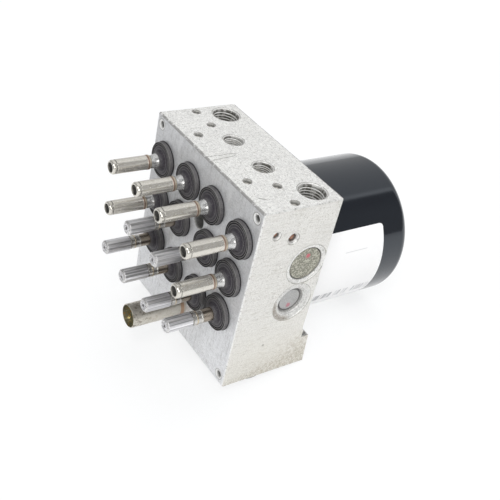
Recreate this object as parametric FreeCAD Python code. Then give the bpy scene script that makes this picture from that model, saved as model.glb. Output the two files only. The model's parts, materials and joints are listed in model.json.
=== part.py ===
import FreeCAD, Part
import math
import os
from FreeCAD import Placement, Rotation, Vector

# Hydraulic unit of an anti-lock brake system with its pump motor.
# Frame: +Z up through the pipe ports, +Y towards the motor, origin at the middle of the block's underside.
# All sizes are in millimetres.

# Block
block_width = 94.0
block_depth = 45.0
block_height = 103.0
block_edge_chamfer = 0.6
rear_edge_chamfer = 1.2

# Lower rear foot of the block
foot_height = 18.4
foot_reach_top = 4.6
foot_reach_bottom = 6.1
foot_ramp_height = 4.7
foot_nick_depth = 3.0

# Pipe ports in the top face: spread from the middle, place in depth, thread and chamfer radius
wheel_port_spread = 12.7
wheel_port_y = 0.0
wheel_port_radius = 4.5
wheel_port_chamfer_radius = 5.4
supply_port_spread = 36.9
supply_port_y = 11.0
supply_port_radius = 6.2
supply_port_chamfer_radius = 7.3
port_depth = 15.0
port_cone_depth = 2.4
port_feed_radius = 1.7
port_feed_depth = 22.0

# Plugged drillings in the top face: spread and place in depth
top_drillings = [(42.7, -3.4), (28.7, -3.1), (21.5, -14.8)]
top_ball_radius = 2.2
top_ball_below_face = 1.0
top_drilling_radius = 1.4
top_drilling_depth = 34.0

# Plugged drillings in the side faces: place in depth, distance below the top, ball radius, mouth radius
side_drillings = [(-12.6, 13.4, 1.5, 2.3), (-2.3, 16.9, 2.1, 3.2)]
side_ball_below_face = 1.2
side_drilling_depth = 22.0

# Screw holes of the control unit in the front face
corner_hole_margin_x = 4.6
corner_hole_margin_z = 4.8
corner_hole_radius = 1.65
corner_hole_chamfer = 0.5
corner_hole_depth = 10.0

# Bracket holes in the underside
bracket_hole_spacing = 20.0
bracket_hole_radius = 3.4
bracket_hole_depth = 10.0
bracket_hole_chamfer = 0.4

# Motor lead hole through the block
lead_hole_x = 2.0
lead_hole_z = 70.3
lead_hole_radius = 4.2
lead_hole_chamfer = 0.3

# Valves: spread of each from the middle, and the steps in height between the accumulator
# chambers' roof, the bottom, middle and top rows and the top face, which share out that height
top_outer_spread = 35.2
top_inner_spread = 10.9
middle_outer_spread = 33.8
middle_inner_spread = 13.0
bottom_outer_spread = 31.7
bottom_inner_spread = 11.7
outer_row_steps = [12.0, 22.5, 22.8, 20.7]
inner_row_steps = [8.3, 28.4, 23.0, 18.3]
stem_length = 29.85
sleeve_radius = 3.6
sleeve_wall = 0.5
neck_radius = 3.3
flare_radius = 4.3
flare_end = 3.3
collar_radius = 5.0
collar_depth = 12.0
nose_radius = 3.0
cartridge_depth = 18.0
valve_feed_radius = 1.0
valve_feed_depth = 23.0
rod_radius = 1.0
rod_clearance = 0.06
rod_tip_back = 0.8
armature_clearance = 0.05
valve_travel = 0.25
valve_end_gap = 0.05
weld_ring_rise = 0.07

# Inlet valve sleeve, measured outward from the block's face
inlet_ring_start = 9.2
inlet_ring_width = 1.8
inlet_core_end = 12.0
dish_radius = 2.3
dish_floor_radius = 1.6
dish_depth = 1.2
dome_height = 1.3
tip_groove_back = 2.3
tip_groove_width = 0.5
tip_groove_depth = 0.2

# Outlet valve sleeve, measured outward from the block's face
tube_radius = 3.3
tube_end = 11.2
tube_wall = 0.45
outlet_ring_width = 0.8
band_end = 13.1
band_radius = 3.45
core_start = 16.3
core_chamfer = 0.7
dimple_radius = 0.8
dimple_depth = 0.6
armature_chamber_depth = 8.0

# Rubber seals round the valve stems
seal_radius = 9.4
seal_rim_radius = 9.0
seal_rim_height = 2.5
seal_rim_width = 1.2
seal_edge_round = 0.35
seal_groove_count = 2
seal_groove_width = 0.8
seal_groove_depth = 0.6
seal_cone_radius = 5.2
seal_hub_radius = 3.9
seal_hub_height = 5.0

# Pressure sensor
sensor_z = 17.0
sensor_radius = 6.2
sensor_wall = 0.5
sensor_length = 29.85
sensor_ring_start = 0.5
sensor_ring_width = 2.0
sensor_ring_rise = 0.1
sensor_seat_depth = 12.0
sensor_port_radius = 1.5
sensor_port_depth = 16.0
sensor_board_below_tip = 5.0
sensor_board_thickness = 1.2
sensor_floor_thickness = 1.5
sensor_vent_radius = 0.45
sensor_vent_below_tip = 4.0
sensor_contact_count = 4
sensor_contact_ring_radius = 3.1
sensor_contact_radius = 0.75
sensor_contact_height = 0.8

# Motor axis and the pump on it
motor_axis_z = 45.9
pump_y = 8.4
eccentric_radius = 6.0
eccentric_offset = 0.8
eccentric_length = 9.6
ring_radius = 9.0
ring_length = 8.0
chamber_radius = 12.0
chamber_bottom_gap = 1.0
shaft_nose_radius = 3.0
shaft_nose_length = 5.0
shaft_clearance = 0.05
cam_gap = 0.1

# Pump pistons, plugs and springs
piston_radius = 4.0
piston_clearance = 0.05
piston_bore_end = 24.0
piston_head_radius = 5.4
piston_head_thickness = 2.0
piston_head_gap = 0.3
piston_edge_chamfer = 0.4
spring_chamber_radius = 6.2
pump_plug_radius = 7.4
pump_plug_recess = 2.3
pump_plug_thickness = 6.7
pump_plug_rim = 0.4
pump_mouth_radius = 11.3
pump_mouth_depth = 0.7
pump_spring_radius = 4.2
pump_spring_wire = 0.5
pump_spring_turns = 6

# Damper chambers and plugs
damper_y = 10.5
damper_z = 68.5
damper_plug_radius = 9.2
damper_plug_recess = 0.9
damper_plug_thickness = 4.0
damper_mouth_radius = 11.4
damper_mouth_depth = 0.4
damper_chamber_radius = 7.8
damper_chamber_depth = 24.0

# Low-pressure accumulators under the block
accumulator_spread = 32.0
accumulator_y = -2.9
accumulator_radius = 12.3
accumulator_depth = 25.0
accumulator_travel = 5.0
accumulator_clearance = 0.05
accumulator_top_gap = 0.5
accumulator_piston_height = 8.0
accumulator_piston_wall = 2.0
accumulator_groove_depth = 0.8
accumulator_groove_height = 2.0
accumulator_cap_radius = 14.0
accumulator_cap_height = 3.0
accumulator_cap_round = 1.6
accumulator_cap_plug = 3.5
accumulator_cap_wall = 1.5
accumulator_spring_radius = 8.6
accumulator_spring_wire = 0.8
accumulator_spring_turns = 5

# Coil springs: gap between touching turns, and wire sections drawn in each turn
spring_turn_gap = 0.05
spring_sections = 16

# Motor can
can_radius = 38.85
can_wall = 1.8
can_length = 70.6
can_end_round = 6.0
can_flange_radius = 41.0
can_flange_thickness = 2.2
bearing_boss_radius = 10.5
bearing_boss_height = 3.0
bearing_boss_round = 2.0
lug_angles = [45.0, 225.0]
lug_radius = 5.6
lug_screw_gap = 3.05
lug_pocket_clearance = 0.6

# Motor screws
screw_radius = 2.5
screw_head_radius = 4.6
screw_head_height = 3.6
screw_depth = 9.0
screw_socket_across = 4.0
screw_socket_depth = 2.2
screw_hole_clearance = 0.3

# Motor end plate with brush boxes
end_plate_thickness = 6.0
pilot_length = 5.0
can_mouth_clearance = 0.1
brush_box_length = 12.0
brush_box_reach = 24.0
brush_box_wall = 1.4
brush_width = 5.0
brush_height = 6.0
brush_clearance = 0.1
brush_start = 10.5

# Rotor, measured along the axis from the block's rear face
shaft_radius = 4.0
commutator_start = 9.0
commutator_length = 11.0
commutator_radius = 11.0
commutator_bars = 12
commutator_slot_width = 0.6
commutator_slot_depth = 0.8
armature_start = 25.0
armature_length = 33.0
armature_radius = 26.0
armature_slots = 12
armature_slot_width = 3.0
armature_root_radius = 12.5
armature_slot_mouth = 1.6
winding_overhang = 4.5
winding_inner_radius = 12.5
winding_outer_radius = 23.0
winding_clearance = 0.25
magnet_count = 4
magnet_span = 74.0
magnet_air_gap = 0.7
magnet_margin = 2.5

# Bearings
front_bearing_radius = 9.0
front_bearing_length = 7.0
rear_bearing_radius = 8.0
rear_bearing_length = 6.0
shaft_end_gap = 1.0

# Label on the can, measured from the block's rear face, with angles about the motor axis
label_start = 8.0
label_end = 51.0
label_top_angle = 36.5
label_bottom_angle = -78.0
label_thickness = 0.12
label_corner = 2.0

# Derived places
front_y = -block_depth / 2
rear_y = block_depth / 2
side_x = block_width / 2
axis_point = Vector(0, 0, motor_axis_z)
chamber_bottom_y = pump_y - eccentric_length / 2 - chamber_bottom_gap
piston_inner_end = ring_radius + eccentric_offset + cam_gap
pump_plug_inner_x = side_x - pump_plug_recess - pump_plug_thickness
lug_circle_radius = can_radius + screw_head_radius + lug_screw_gap


def polygon_face(points):
    """Closed flat face through (radius, height) points; an item (middle, end) draws an arc."""
    edges = []
    first = points[0]
    last = first
    for item in points[1:] + [first]:
        if isinstance(item[0], tuple):
            middle, end = item
            edges.append(Part.Arc(Vector(*last, 0), Vector(*middle, 0), Vector(*end, 0)).toShape())
        else:
            end = item
            if math.dist(last, end) < 1e-9:
                continue
            edges.append(Part.makeLine(Vector(*last, 0), Vector(*end, 0)))
        last = end
    return Part.Face(Part.Wire(edges))


def turned(points, base, direction):
    """Solid of revolution of an outline of (radius, distance along the axis)."""
    body = polygon_face(points).revolve(Vector(0, 0, 0), Vector(0, 1, 0), 360)
    body.Placement = Placement(base, Rotation(Vector(0, 1, 0), direction))
    return body


def rod(radius, base, direction, length):
    return Part.makeCylinder(radius, length, base, direction)


def tube(inner, outer, base, direction, length):
    return turned([(inner, 0), (outer, 0), (outer, length), (inner, length)], base, direction)


def cone_mouth(radius, mouth_radius, face_point, inward):
    """Cutter for a 45 degree chamfer round a hole."""
    return Part.makeCone(mouth_radius, radius, mouth_radius - radius, face_point, inward)


def box_between(low, high):
    size = high - low
    return Part.makeBox(size.x, size.y, size.z, low)


def mirrored(shape):
    return shape.mirror(Vector(0, 0, 0), Vector(1, 0, 0))


def both_sides(shape):
    return [shape, mirrored(shape)]


def round_corner(centre, radius, start_angle, end_angle):
    """Arc item for an outline, from one angle to another about a centre."""
    middle = math.radians((start_angle + end_angle) / 2)
    end = math.radians(end_angle)
    return (
        (centre[0] + radius * math.cos(middle), centre[1] + radius * math.sin(middle)),
        (centre[0] + radius * math.cos(end), centre[1] + radius * math.sin(end)),
    )


def spring(radius, wire, turns, base, direction, length):
    """Compression spring with a closed turn at each end, drawn through sections of its wire."""
    closed_rise = 2 * wire + spring_turn_gap
    open_rise = (length - 2 * wire - 2 * closed_rise) / (turns - 2)
    sections = []
    for step in range(turns * spring_sections + 1):
        turn = step / spring_sections
        open_turns = min(max(turn - 1, 0), turns - 2)
        section = Part.makeCircle(wire, Vector(radius, 0, 0), Vector(0, 1, 0))
        section.rotate(Vector(0, 0, 0), Vector(0, 0, 1), 360 * turn)
        section.translate(Vector(0, 0, wire + (turn - open_turns) * closed_rise + open_turns * open_rise))
        sections.append(Part.Wire(section))
    coil = Part.makeLoft(sections, True, True)
    coil.Placement = Placement(base, Rotation(Vector(0, 0, 1), direction))
    return coil


def lug_place(angle, radius):
    turn = math.radians(angle)
    return Vector(radius * math.cos(turn), 0, radius * math.sin(turn)) + axis_point


def row_heights(steps):
    """Heights of the bottom, middle and top rows, which share out the height above the accumulators."""
    room = block_height - accumulator_depth
    heights = []
    for count in range(1, len(steps)):
        heights.append(accumulator_depth + room * sum(steps[:count]) / sum(steps))
    return heights


def valve_places(seats):
    """Left valve, then right valve, of each pair, on the block's front face."""
    places = []
    for spread, height in seats:
        places.append(Vector(-spread, front_y, height))
        places.append(Vector(spread, front_y, height))
    return places


bottom_outer_z, middle_outer_z, top_outer_z = row_heights(outer_row_steps)
bottom_inner_z, middle_inner_z, top_inner_z = row_heights(inner_row_steps)
inlet_places = valve_places([
    (top_outer_spread, top_outer_z),
    (top_inner_spread, top_inner_z),
    (middle_outer_spread, middle_outer_z),
])
outlet_places = valve_places([
    (middle_inner_spread, middle_inner_z),
    (bottom_outer_spread, bottom_outer_z),
    (bottom_inner_spread, bottom_inner_z),
])
outward = Vector(0, -1, 0)
inward = Vector(0, 1, 0)
up = Vector(0, 0, 1)
down = Vector(0, 0, -1)
rightward = Vector(1, 0, 0)
leftward = Vector(-1, 0, 0)


# Hydraulic block

def block_outline():
    """Side view of the block in depth and height, with the foot at its lower rear edge."""
    corners = [
        (front_y, 0),
        (rear_y + foot_reach_bottom, 0),
        (rear_y + foot_reach_top, foot_height),
        (rear_y, foot_height + foot_ramp_height),
        (rear_y, block_height),
        (front_y, block_height),
    ]
    points = [Vector(-side_x, y, z) for y, z in corners]
    return Part.Face(Part.makePolygon(points + [points[0]]))


def edges_through(shape, points):
    """The edges that pass through given points."""
    return [edge for edge in shape.Edges for point in points if edge.distToShape(Part.Vertex(point))[0] < 1e-6]


def block_blank():
    blank = block_outline().extrude(Vector(block_width, 0, 0))
    middle = block_height / 2
    rear_corners = [Vector(side_x, rear_y, middle), Vector(-side_x, rear_y, middle)]
    blank = blank.makeChamfer(rear_edge_chamfer, edges_through(blank, rear_corners))
    corner = rear_edge_chamfer / 2
    rims = [
        Vector(0, front_y, block_height),
        Vector(0, rear_y, block_height),
        Vector(side_x, 0, block_height),
        Vector(-side_x, 0, block_height),
        Vector(side_x - corner, rear_y - corner, block_height),
        Vector(corner - side_x, rear_y - corner, block_height),
        Vector(side_x, front_y, middle),
        Vector(-side_x, front_y, middle),
        Vector(0, front_y, 0),
    ]
    blank = blank.makeChamfer(block_edge_chamfer, edges_through(blank, rims))
    return blank.cut(foot_nick())


def foot_nick():
    """Small triangular relief in both side faces where the foot begins."""
    corners = [
        (rear_y, foot_height),
        (rear_y + foot_reach_top, foot_height),
        (rear_y, foot_height + foot_ramp_height),
    ]
    points = [Vector(side_x - foot_nick_depth, y, z) for y, z in corners]
    right = Part.Face(Part.makePolygon(points + [points[0]])).extrude(Vector(foot_nick_depth, 0, 0))
    return both_sides(right)


def port_cutters():
    cutters = []
    ports = [
        (wheel_port_spread, wheel_port_y, wheel_port_radius, wheel_port_chamfer_radius),
        (supply_port_spread, supply_port_y, supply_port_radius, supply_port_chamfer_radius),
    ]
    for spread, y, radius, mouth in ports:
        chamfer = mouth - radius
        port = turned(
            [
                (0, 0),
                (mouth, 0),
                (radius, chamfer),
                (radius, port_depth),
                (port_feed_radius, port_depth + port_cone_depth),
                (port_feed_radius, port_feed_depth),
                (0, port_feed_depth),
            ],
            Vector(spread, y, block_height),
            down,
        )
        cutters += both_sides(port)
    return cutters


def top_drilling_cutters():
    cutters = []
    seat = top_ball_below_face + 2 * top_ball_radius
    for spread, y in top_drillings:
        drilling = turned(
            [
                (0, 0),
                (top_ball_radius, 0),
                (top_ball_radius, seat),
                (top_drilling_radius, seat + top_ball_radius - top_drilling_radius),
                (top_drilling_radius, top_drilling_depth),
                (0, top_drilling_depth),
            ],
            Vector(spread, y, block_height),
            down,
        )
        cutters += both_sides(drilling)
    return cutters


def side_drilling_cutters():
    cutters = []
    for y, below_top, radius, mouth in side_drillings:
        drilling = turned(
            [(0, 0), (mouth, 0), (radius, mouth - radius), (radius, side_drilling_depth), (0, side_drilling_depth)],
            Vector(side_x, y, block_height - below_top),
            leftward,
        )
        cutters += both_sides(drilling)
    return cutters


def screw_hole(radius, chamfer, depth, base, direction):
    return turned(
        [(0, 0), (radius + chamfer, 0), (radius, chamfer), (radius, depth), (0, depth + radius * 0.6)],
        base,
        direction,
    )


def corner_hole_cutters():
    cutters = []
    for height in (corner_hole_margin_z, block_height - corner_hole_margin_z):
        place = Vector(side_x - corner_hole_margin_x, front_y, height)
        hole = screw_hole(corner_hole_radius, corner_hole_chamfer, corner_hole_depth, place, inward)
        cutters += both_sides(hole)
    return cutters


def bracket_hole_cutters():
    place = Vector(bracket_hole_spacing / 2, 0, 0)
    return both_sides(screw_hole(bracket_hole_radius, bracket_hole_chamfer, bracket_hole_depth, place, up))


def valve_bore_cutters():
    cutters = []
    for place in inlet_places + outlet_places:
        bore = turned(
            [
                (0, 0),
                (collar_radius, 0),
                (collar_radius, collar_depth),
                (nose_radius, collar_depth),
                (nose_radius, cartridge_depth),
                (valve_feed_radius, cartridge_depth),
                (valve_feed_radius, valve_feed_depth),
                (0, valve_feed_depth),
            ],
            place,
            inward,
        )
        cutters.append(bore)
    return cutters


def sensor_bore_cutters():
    place = Vector(0, front_y, sensor_z)
    seat = rod(sensor_radius, place, inward, sensor_seat_depth)
    port = rod(sensor_port_radius, place, inward, sensor_port_depth)
    return [seat, port]


def lead_hole_cutters():
    front = Vector(lead_hole_x, front_y, lead_hole_z)
    hole = rod(lead_hole_radius, front, inward, block_depth)
    mouth = cone_mouth(lead_hole_radius, lead_hole_radius + lead_hole_chamfer, front, inward)
    return [hole, mouth]


def pump_cutters():
    chamber_start = Vector(0, chamber_bottom_y, motor_axis_z)
    chamber = rod(chamber_radius, chamber_start, inward, rear_y - chamber_bottom_y)
    nose = rod(
        shaft_nose_radius + shaft_clearance,
        chamber_start + outward * shaft_nose_length,
        inward,
        shaft_nose_length,
    )
    bore_radius = piston_radius + piston_clearance
    mouth = Vector(side_x, pump_y, motor_axis_z)
    depth_to_plug = side_x - pump_plug_inner_x
    depth_to_bore = side_x - piston_bore_end
    bore = turned(
        [
            (0, 0),
            (pump_mouth_radius, 0),
            (pump_mouth_radius - pump_mouth_depth, pump_mouth_depth),
            (pump_plug_radius + pump_mouth_depth, pump_mouth_depth),
            (pump_plug_radius, 2 * pump_mouth_depth),
            (pump_plug_radius, depth_to_plug),
            (spring_chamber_radius, depth_to_plug),
            (spring_chamber_radius, depth_to_bore),
            (bore_radius, depth_to_bore),
            (bore_radius, side_x),
            (0, side_x),
        ],
        mouth,
        leftward,
    )
    return [chamber, nose] + both_sides(bore)


def damper_cutters():
    mouth = Vector(side_x, damper_y, damper_z)
    depth_to_plug = damper_plug_recess + damper_plug_thickness
    bore = turned(
        [
            (0, 0),
            (damper_mouth_radius, 0),
            (damper_mouth_radius - damper_mouth_depth, damper_mouth_depth),
            (damper_plug_radius + damper_mouth_depth, damper_mouth_depth),
            (damper_plug_radius, 2 * damper_mouth_depth),
            (damper_plug_radius, depth_to_plug),
            (damper_chamber_radius, depth_to_plug),
            (damper_chamber_radius, damper_chamber_depth),
            (0, damper_chamber_depth + damper_chamber_radius / 2),
        ],
        mouth,
        leftward,
    )
    return both_sides(bore)


def accumulator_place():
    return Vector(accumulator_spread, accumulator_y, 0)


def accumulator_cutters():
    return both_sides(rod(accumulator_radius, accumulator_place(), up, accumulator_depth))


def motor_relief_cutters():
    """Room in the foot for the can's flange and lower lug, and the motor's screw holes."""
    start = axis_point + inward * rear_y
    reach = foot_reach_bottom + 1
    relief = rod(can_flange_radius + lug_pocket_clearance, start, inward, reach)
    cutters = [relief]
    for angle in lug_angles:
        screw_start = lug_place(angle, lug_circle_radius) + inward * rear_y
        cutters.append(rod(lug_radius + lug_pocket_clearance, screw_start, inward, reach))
        cutters.append(rod(screw_radius, screw_start, outward, screw_depth))
    return cutters


def hydraulic_block():
    cutters = (
        port_cutters()
        + top_drilling_cutters()
        + side_drilling_cutters()
        + corner_hole_cutters()
        + bracket_hole_cutters()
        + valve_bore_cutters()
        + sensor_bore_cutters()
        + lead_hole_cutters()
        + pump_cutters()
        + damper_cutters()
        + accumulator_cutters()
        + motor_relief_cutters()
    )
    return block_blank().cut(cutters)


# Valves

def cartridge_foot(inner_radius):
    """Outline points of the part pressed into the block, from its inner end out to the face."""
    return [
        (inner_radius, -cartridge_depth),
        (nose_radius, -cartridge_depth),
        (nose_radius, -collar_depth),
        (collar_radius, -collar_depth),
        (collar_radius, 0),
        (flare_radius, 0),
        (flare_radius, flare_end - (flare_radius - neck_radius)),
        (neck_radius, flare_end),
    ]


def weld_ring(radius, start, width):
    top = radius + weld_ring_rise
    return [(radius, start), (top, start), (top, start + width), (radius, start + width)]


def tip_groove(radius, back, width, depth):
    start = stem_length - back
    return [
        (radius, start),
        (radius - depth, start + depth),
        (radius - depth, start + width - depth),
        (radius, start + width),
    ]


def rod_bore():
    return rod_radius + rod_clearance


def inlet_chamber_radius():
    return sleeve_radius - sleeve_wall


def inlet_chamber_end():
    return stem_length - dish_depth - 2 * sleeve_wall


def inlet_sleeve(place):
    dome_start = stem_length - dome_height
    dome_middle = (
        dish_radius + (sleeve_radius - dish_radius) * math.cos(math.pi / 4),
        dome_start + dome_height * math.sin(math.pi / 4),
    )
    outline = cartridge_foot(rod_bore())
    outline += weld_ring(neck_radius, inlet_ring_start, inlet_ring_width)[:1]
    outline += weld_ring(sleeve_radius, inlet_ring_start, inlet_ring_width)[1:]
    outline += tip_groove(sleeve_radius, tip_groove_back, tip_groove_width, tip_groove_depth)
    outline += [
        (sleeve_radius, dome_start),
        (dome_middle, (dish_radius, stem_length)),
        (dish_floor_radius, stem_length - dish_depth),
        (0, stem_length - dish_depth),
        (0, inlet_chamber_end()),
        (inlet_chamber_radius(), inlet_chamber_end()),
        (inlet_chamber_radius(), inlet_core_end),
        (rod_bore(), inlet_core_end),
    ]
    return turned(outline, place, outward)


def inlet_plunger(place):
    """Armature with its push rod: it moves in towards the seat."""
    armature = inlet_chamber_radius() - armature_clearance
    low = inlet_core_end + valve_travel + valve_end_gap
    high = inlet_chamber_end() - valve_end_gap
    rod_low = valve_travel + valve_end_gap - cartridge_depth
    outline = [
        (0, rod_low),
        (rod_radius - rod_tip_back / 2, rod_low),
        (rod_radius, rod_low + rod_tip_back),
        (rod_radius, low),
        (armature, low),
        (armature, high),
        (0, high),
    ]
    return turned(outline, place, outward)


def outlet_chamber_radius():
    return tube_radius - tube_wall


def outlet_chamber_end():
    return core_start - outlet_ring_width


def outlet_sleeve(place):
    core_edge = stem_length - core_chamfer
    ring_end = core_start - outlet_ring_width / 2
    outline = cartridge_foot(rod_bore())
    outline += weld_ring(tube_radius, tube_end - outlet_ring_width, outlet_ring_width)[:-1]
    outline += [(band_radius, tube_end), (band_radius, band_end)]
    outline += weld_ring(band_radius, band_end, outlet_ring_width)[1:]
    outline += [
        (band_radius, ring_end),
        (sleeve_radius, ring_end + sleeve_radius - band_radius),
        (sleeve_radius, core_edge),
        (sleeve_radius - core_chamfer, stem_length),
        (dimple_radius, stem_length),
        (0, stem_length - dimple_depth),
        (0, outlet_chamber_end()),
        (outlet_chamber_radius(), outlet_chamber_end()),
        (outlet_chamber_radius(), -armature_chamber_depth),
        (rod_bore(), -armature_chamber_depth),
    ]
    return turned(outline, place, outward)


def outlet_plunger(place):
    """Armature with its closing rod: it rests on the seat and is pulled outward."""
    armature = outlet_chamber_radius() - armature_clearance
    low = valve_end_gap - armature_chamber_depth
    high = outlet_chamber_end() - valve_travel - valve_end_gap
    rod_low = valve_end_gap - cartridge_depth
    outline = [
        (0, rod_low),
        (rod_radius - rod_tip_back / 2, rod_low),
        (rod_radius, rod_low + rod_tip_back),
        (rod_radius, low),
        (armature, low),
        (armature, high),
        (0, high),
    ]
    return turned(outline, place, outward)


def valve_seal(place):
    """Rubber grommet: a rim, ring grooves on its face, and a cone that rises to a hub round the neck."""
    edge = seal_rim_radius - seal_edge_round
    outline = [
        (flare_radius, 0),
        (seal_radius, 0),
        (seal_rim_radius, seal_rim_height - seal_edge_round),
        round_corner((edge, seal_rim_height - seal_edge_round), seal_edge_round, 0, 90),
    ]
    flat_start = seal_rim_radius - seal_rim_width
    pitch = (flat_start - seal_cone_radius) / seal_groove_count
    for index in range(seal_groove_count):
        groove = flat_start - index * pitch
        outline += [
            (groove, seal_rim_height),
            (groove - seal_groove_width / 2, seal_rim_height - seal_groove_depth),
            (groove - seal_groove_width, seal_rim_height),
        ]
    outline += [
        (seal_cone_radius, seal_rim_height),
        (seal_hub_radius, seal_hub_height),
        (neck_radius, seal_hub_height),
        (neck_radius, flare_end),
        (flare_radius, flare_end - (flare_radius - neck_radius)),
    ]
    return turned(outline, place, outward)


# Pressure sensor

def sensor_sleeve():
    place = Vector(0, front_y, sensor_z)
    inner = sensor_radius - sensor_wall
    ring = sensor_radius + sensor_ring_rise
    ring_end = sensor_ring_start + sensor_ring_width
    floor = sensor_length - sensor_board_below_tip - sensor_board_thickness - sensor_floor_thickness
    outline = [
        (sensor_port_radius, -sensor_seat_depth),
        (sensor_radius, -sensor_seat_depth),
        (sensor_radius, sensor_ring_start),
        (ring, sensor_ring_start),
        (ring, ring_end),
        (sensor_radius, ring_end),
        (sensor_radius, sensor_length - sensor_wall / 2),
        (sensor_radius - sensor_wall / 2, sensor_length),
        (inner, sensor_length),
        (inner, floor),
        (0, floor),
        (0, ring_end),
        (sensor_port_radius, ring_end),
    ]
    sleeve = turned(outline, place, outward)
    vent_start = place + outward * (sensor_length - sensor_vent_below_tip)
    return sleeve.cut(rod(sensor_vent_radius, vent_start, rightward, sensor_radius + 1))


def sensor_board():
    level = sensor_length - sensor_board_below_tip - sensor_board_thickness
    base = Vector(0, front_y - level, sensor_z)
    return rod(sensor_radius - sensor_wall, base, outward, sensor_board_thickness)


def sensor_contacts():
    level = sensor_length - sensor_board_below_tip
    pads = []
    for index in range(sensor_contact_count):
        turn = 2 * math.pi * (index + 0.5) / sensor_contact_count
        base = Vector(
            sensor_contact_ring_radius * math.cos(turn),
            front_y - level,
            sensor_z + sensor_contact_ring_radius * math.sin(turn),
        )
        pads.append(rod(sensor_contact_radius, base, outward, sensor_contact_height))
    return Part.makeCompound(pads)


# Plugs and sealing balls

def pump_plug():
    base = Vector(side_x - pump_plug_recess, pump_y, motor_axis_z)
    step = pump_plug_rim
    outline = [
        (0, 0),
        (pump_plug_radius - 2 * step, 0),
        (pump_plug_radius - 2 * step, step),
        (pump_plug_radius, step),
        (pump_plug_radius, pump_plug_thickness),
        (0, pump_plug_thickness),
    ]
    return turned(outline, base, leftward)


def damper_plug():
    base = Vector(side_x - damper_plug_recess, damper_y, damper_z)
    inner = damper_chamber_radius - 1
    outline = [
        (0, 0),
        (damper_plug_radius - damper_mouth_depth, 0),
        (damper_plug_radius, damper_mouth_depth),
        (damper_plug_radius, damper_plug_thickness),
        (inner, damper_plug_thickness),
        (inner, damper_plug_thickness / 2),
        (0, damper_plug_thickness / 2),
    ]
    return turned(outline, base, leftward)


def top_balls():
    balls = []
    depth = top_ball_below_face + top_ball_radius
    for spread, y in top_drillings:
        balls += both_sides(Part.makeSphere(top_ball_radius, Vector(spread, y, block_height - depth)))
    return Part.makeCompound(balls)


def side_balls():
    balls = []
    for y, below_top, radius, mouth in side_drillings:
        centre = Vector(side_x - side_ball_below_face - radius, y, block_height - below_top)
        balls += both_sides(Part.makeSphere(radius, centre))
    return Part.makeCompound(balls)


# Pump pistons and springs

def pump_piston():
    base = Vector(piston_inner_end, pump_y, motor_axis_z)
    head_start = piston_bore_end + piston_head_gap - piston_inner_end
    head_end = head_start + piston_head_thickness
    outline = [
        (0, 0),
        (piston_radius - piston_edge_chamfer, 0),
        (piston_radius, piston_edge_chamfer),
        (piston_radius, head_start),
        (piston_head_radius, head_start),
        (piston_head_radius, head_end),
        (0, head_end),
    ]
    return turned(outline, base, rightward)


def pump_spring():
    start = piston_bore_end + piston_head_gap + piston_head_thickness
    base = Vector(start, pump_y, motor_axis_z)
    length = pump_plug_inner_x - start
    return spring(pump_spring_radius, pump_spring_wire, pump_spring_turns, base, rightward, length)


# Accumulators

def accumulator_piston_top():
    return accumulator_depth - accumulator_top_gap


def accumulator_piston():
    top = accumulator_piston_top()
    low = top - accumulator_piston_height
    radius = accumulator_radius - accumulator_clearance
    inner = radius - accumulator_piston_wall
    groove = radius - accumulator_groove_depth
    groove_low = top - accumulator_piston_height / 2 - accumulator_groove_height / 2
    groove_high = groove_low + accumulator_groove_height
    outline = [
        (0, top),
        (0, top - accumulator_piston_wall),
        (inner, top - accumulator_piston_wall),
        (inner, low),
        (radius, low),
        (radius, groove_low),
        (groove, groove_low),
        (groove, groove_high),
        (radius, groove_high),
        (radius, top),
    ]
    return turned(outline, accumulator_place(), up)


def accumulator_spring():
    start = accumulator_cap_plug - accumulator_cap_wall
    length = accumulator_piston_top() - accumulator_piston_wall - start
    return spring(
        accumulator_spring_radius,
        accumulator_spring_wire,
        accumulator_spring_turns,
        accumulator_place() + up * start,
        up,
        length,
    )


def accumulator_cap():
    """Drawn cap: a round dished disc below the block and a rim inside the bore."""
    edge = accumulator_cap_radius - accumulator_cap_round
    low = -accumulator_cap_height
    inner = accumulator_radius - accumulator_cap_wall
    floor = accumulator_cap_plug - accumulator_cap_wall
    outline = [
        (0, low),
        (edge, low),
        round_corner((edge, low + accumulator_cap_round), accumulator_cap_round, -90, 0),
        (accumulator_cap_radius, 0),
        (accumulator_radius, 0),
        (accumulator_radius, accumulator_cap_plug),
        (inner, accumulator_cap_plug),
        (inner, floor),
        (0, floor),
    ]
    return turned(outline, accumulator_place(), up)


# Motor

def on_axis(distance):
    """Point on the motor axis at a distance behind the block's rear face."""
    return Vector(0, rear_y + distance, motor_axis_z)


def can_inner_radius():
    return can_radius - can_wall


def motor_can():
    end_inner = can_length - can_wall
    inner_round = can_end_round - can_wall
    boss_end = can_length + bearing_boss_height
    boss_inner = rear_bearing_radius
    outline = [
        (can_inner_radius(), 0),
        (can_flange_radius, 0),
        (can_flange_radius, can_flange_thickness),
        (can_radius, can_flange_thickness),
        (can_radius, can_length - can_end_round),
        round_corner((can_radius - can_end_round, can_length - can_end_round), can_end_round, 0, 90),
        (bearing_boss_radius, can_length),
        (bearing_boss_radius, boss_end - bearing_boss_round),
        round_corner(
            (bearing_boss_radius - bearing_boss_round, boss_end - bearing_boss_round), bearing_boss_round, 0, 90
        ),
        (0, boss_end),
        (0, boss_end - can_wall),
        (boss_inner, boss_end - can_wall),
        (boss_inner, end_inner),
        (can_radius - can_end_round, end_inner),
        round_corner((can_radius - can_end_round, can_length - can_end_round), inner_round, 90, 0),
    ]
    can = turned(outline, on_axis(0), inward)
    lugs = [motor_lug(angle) for angle in lug_angles]
    return can.fuse(lugs).removeSplitter()


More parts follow.
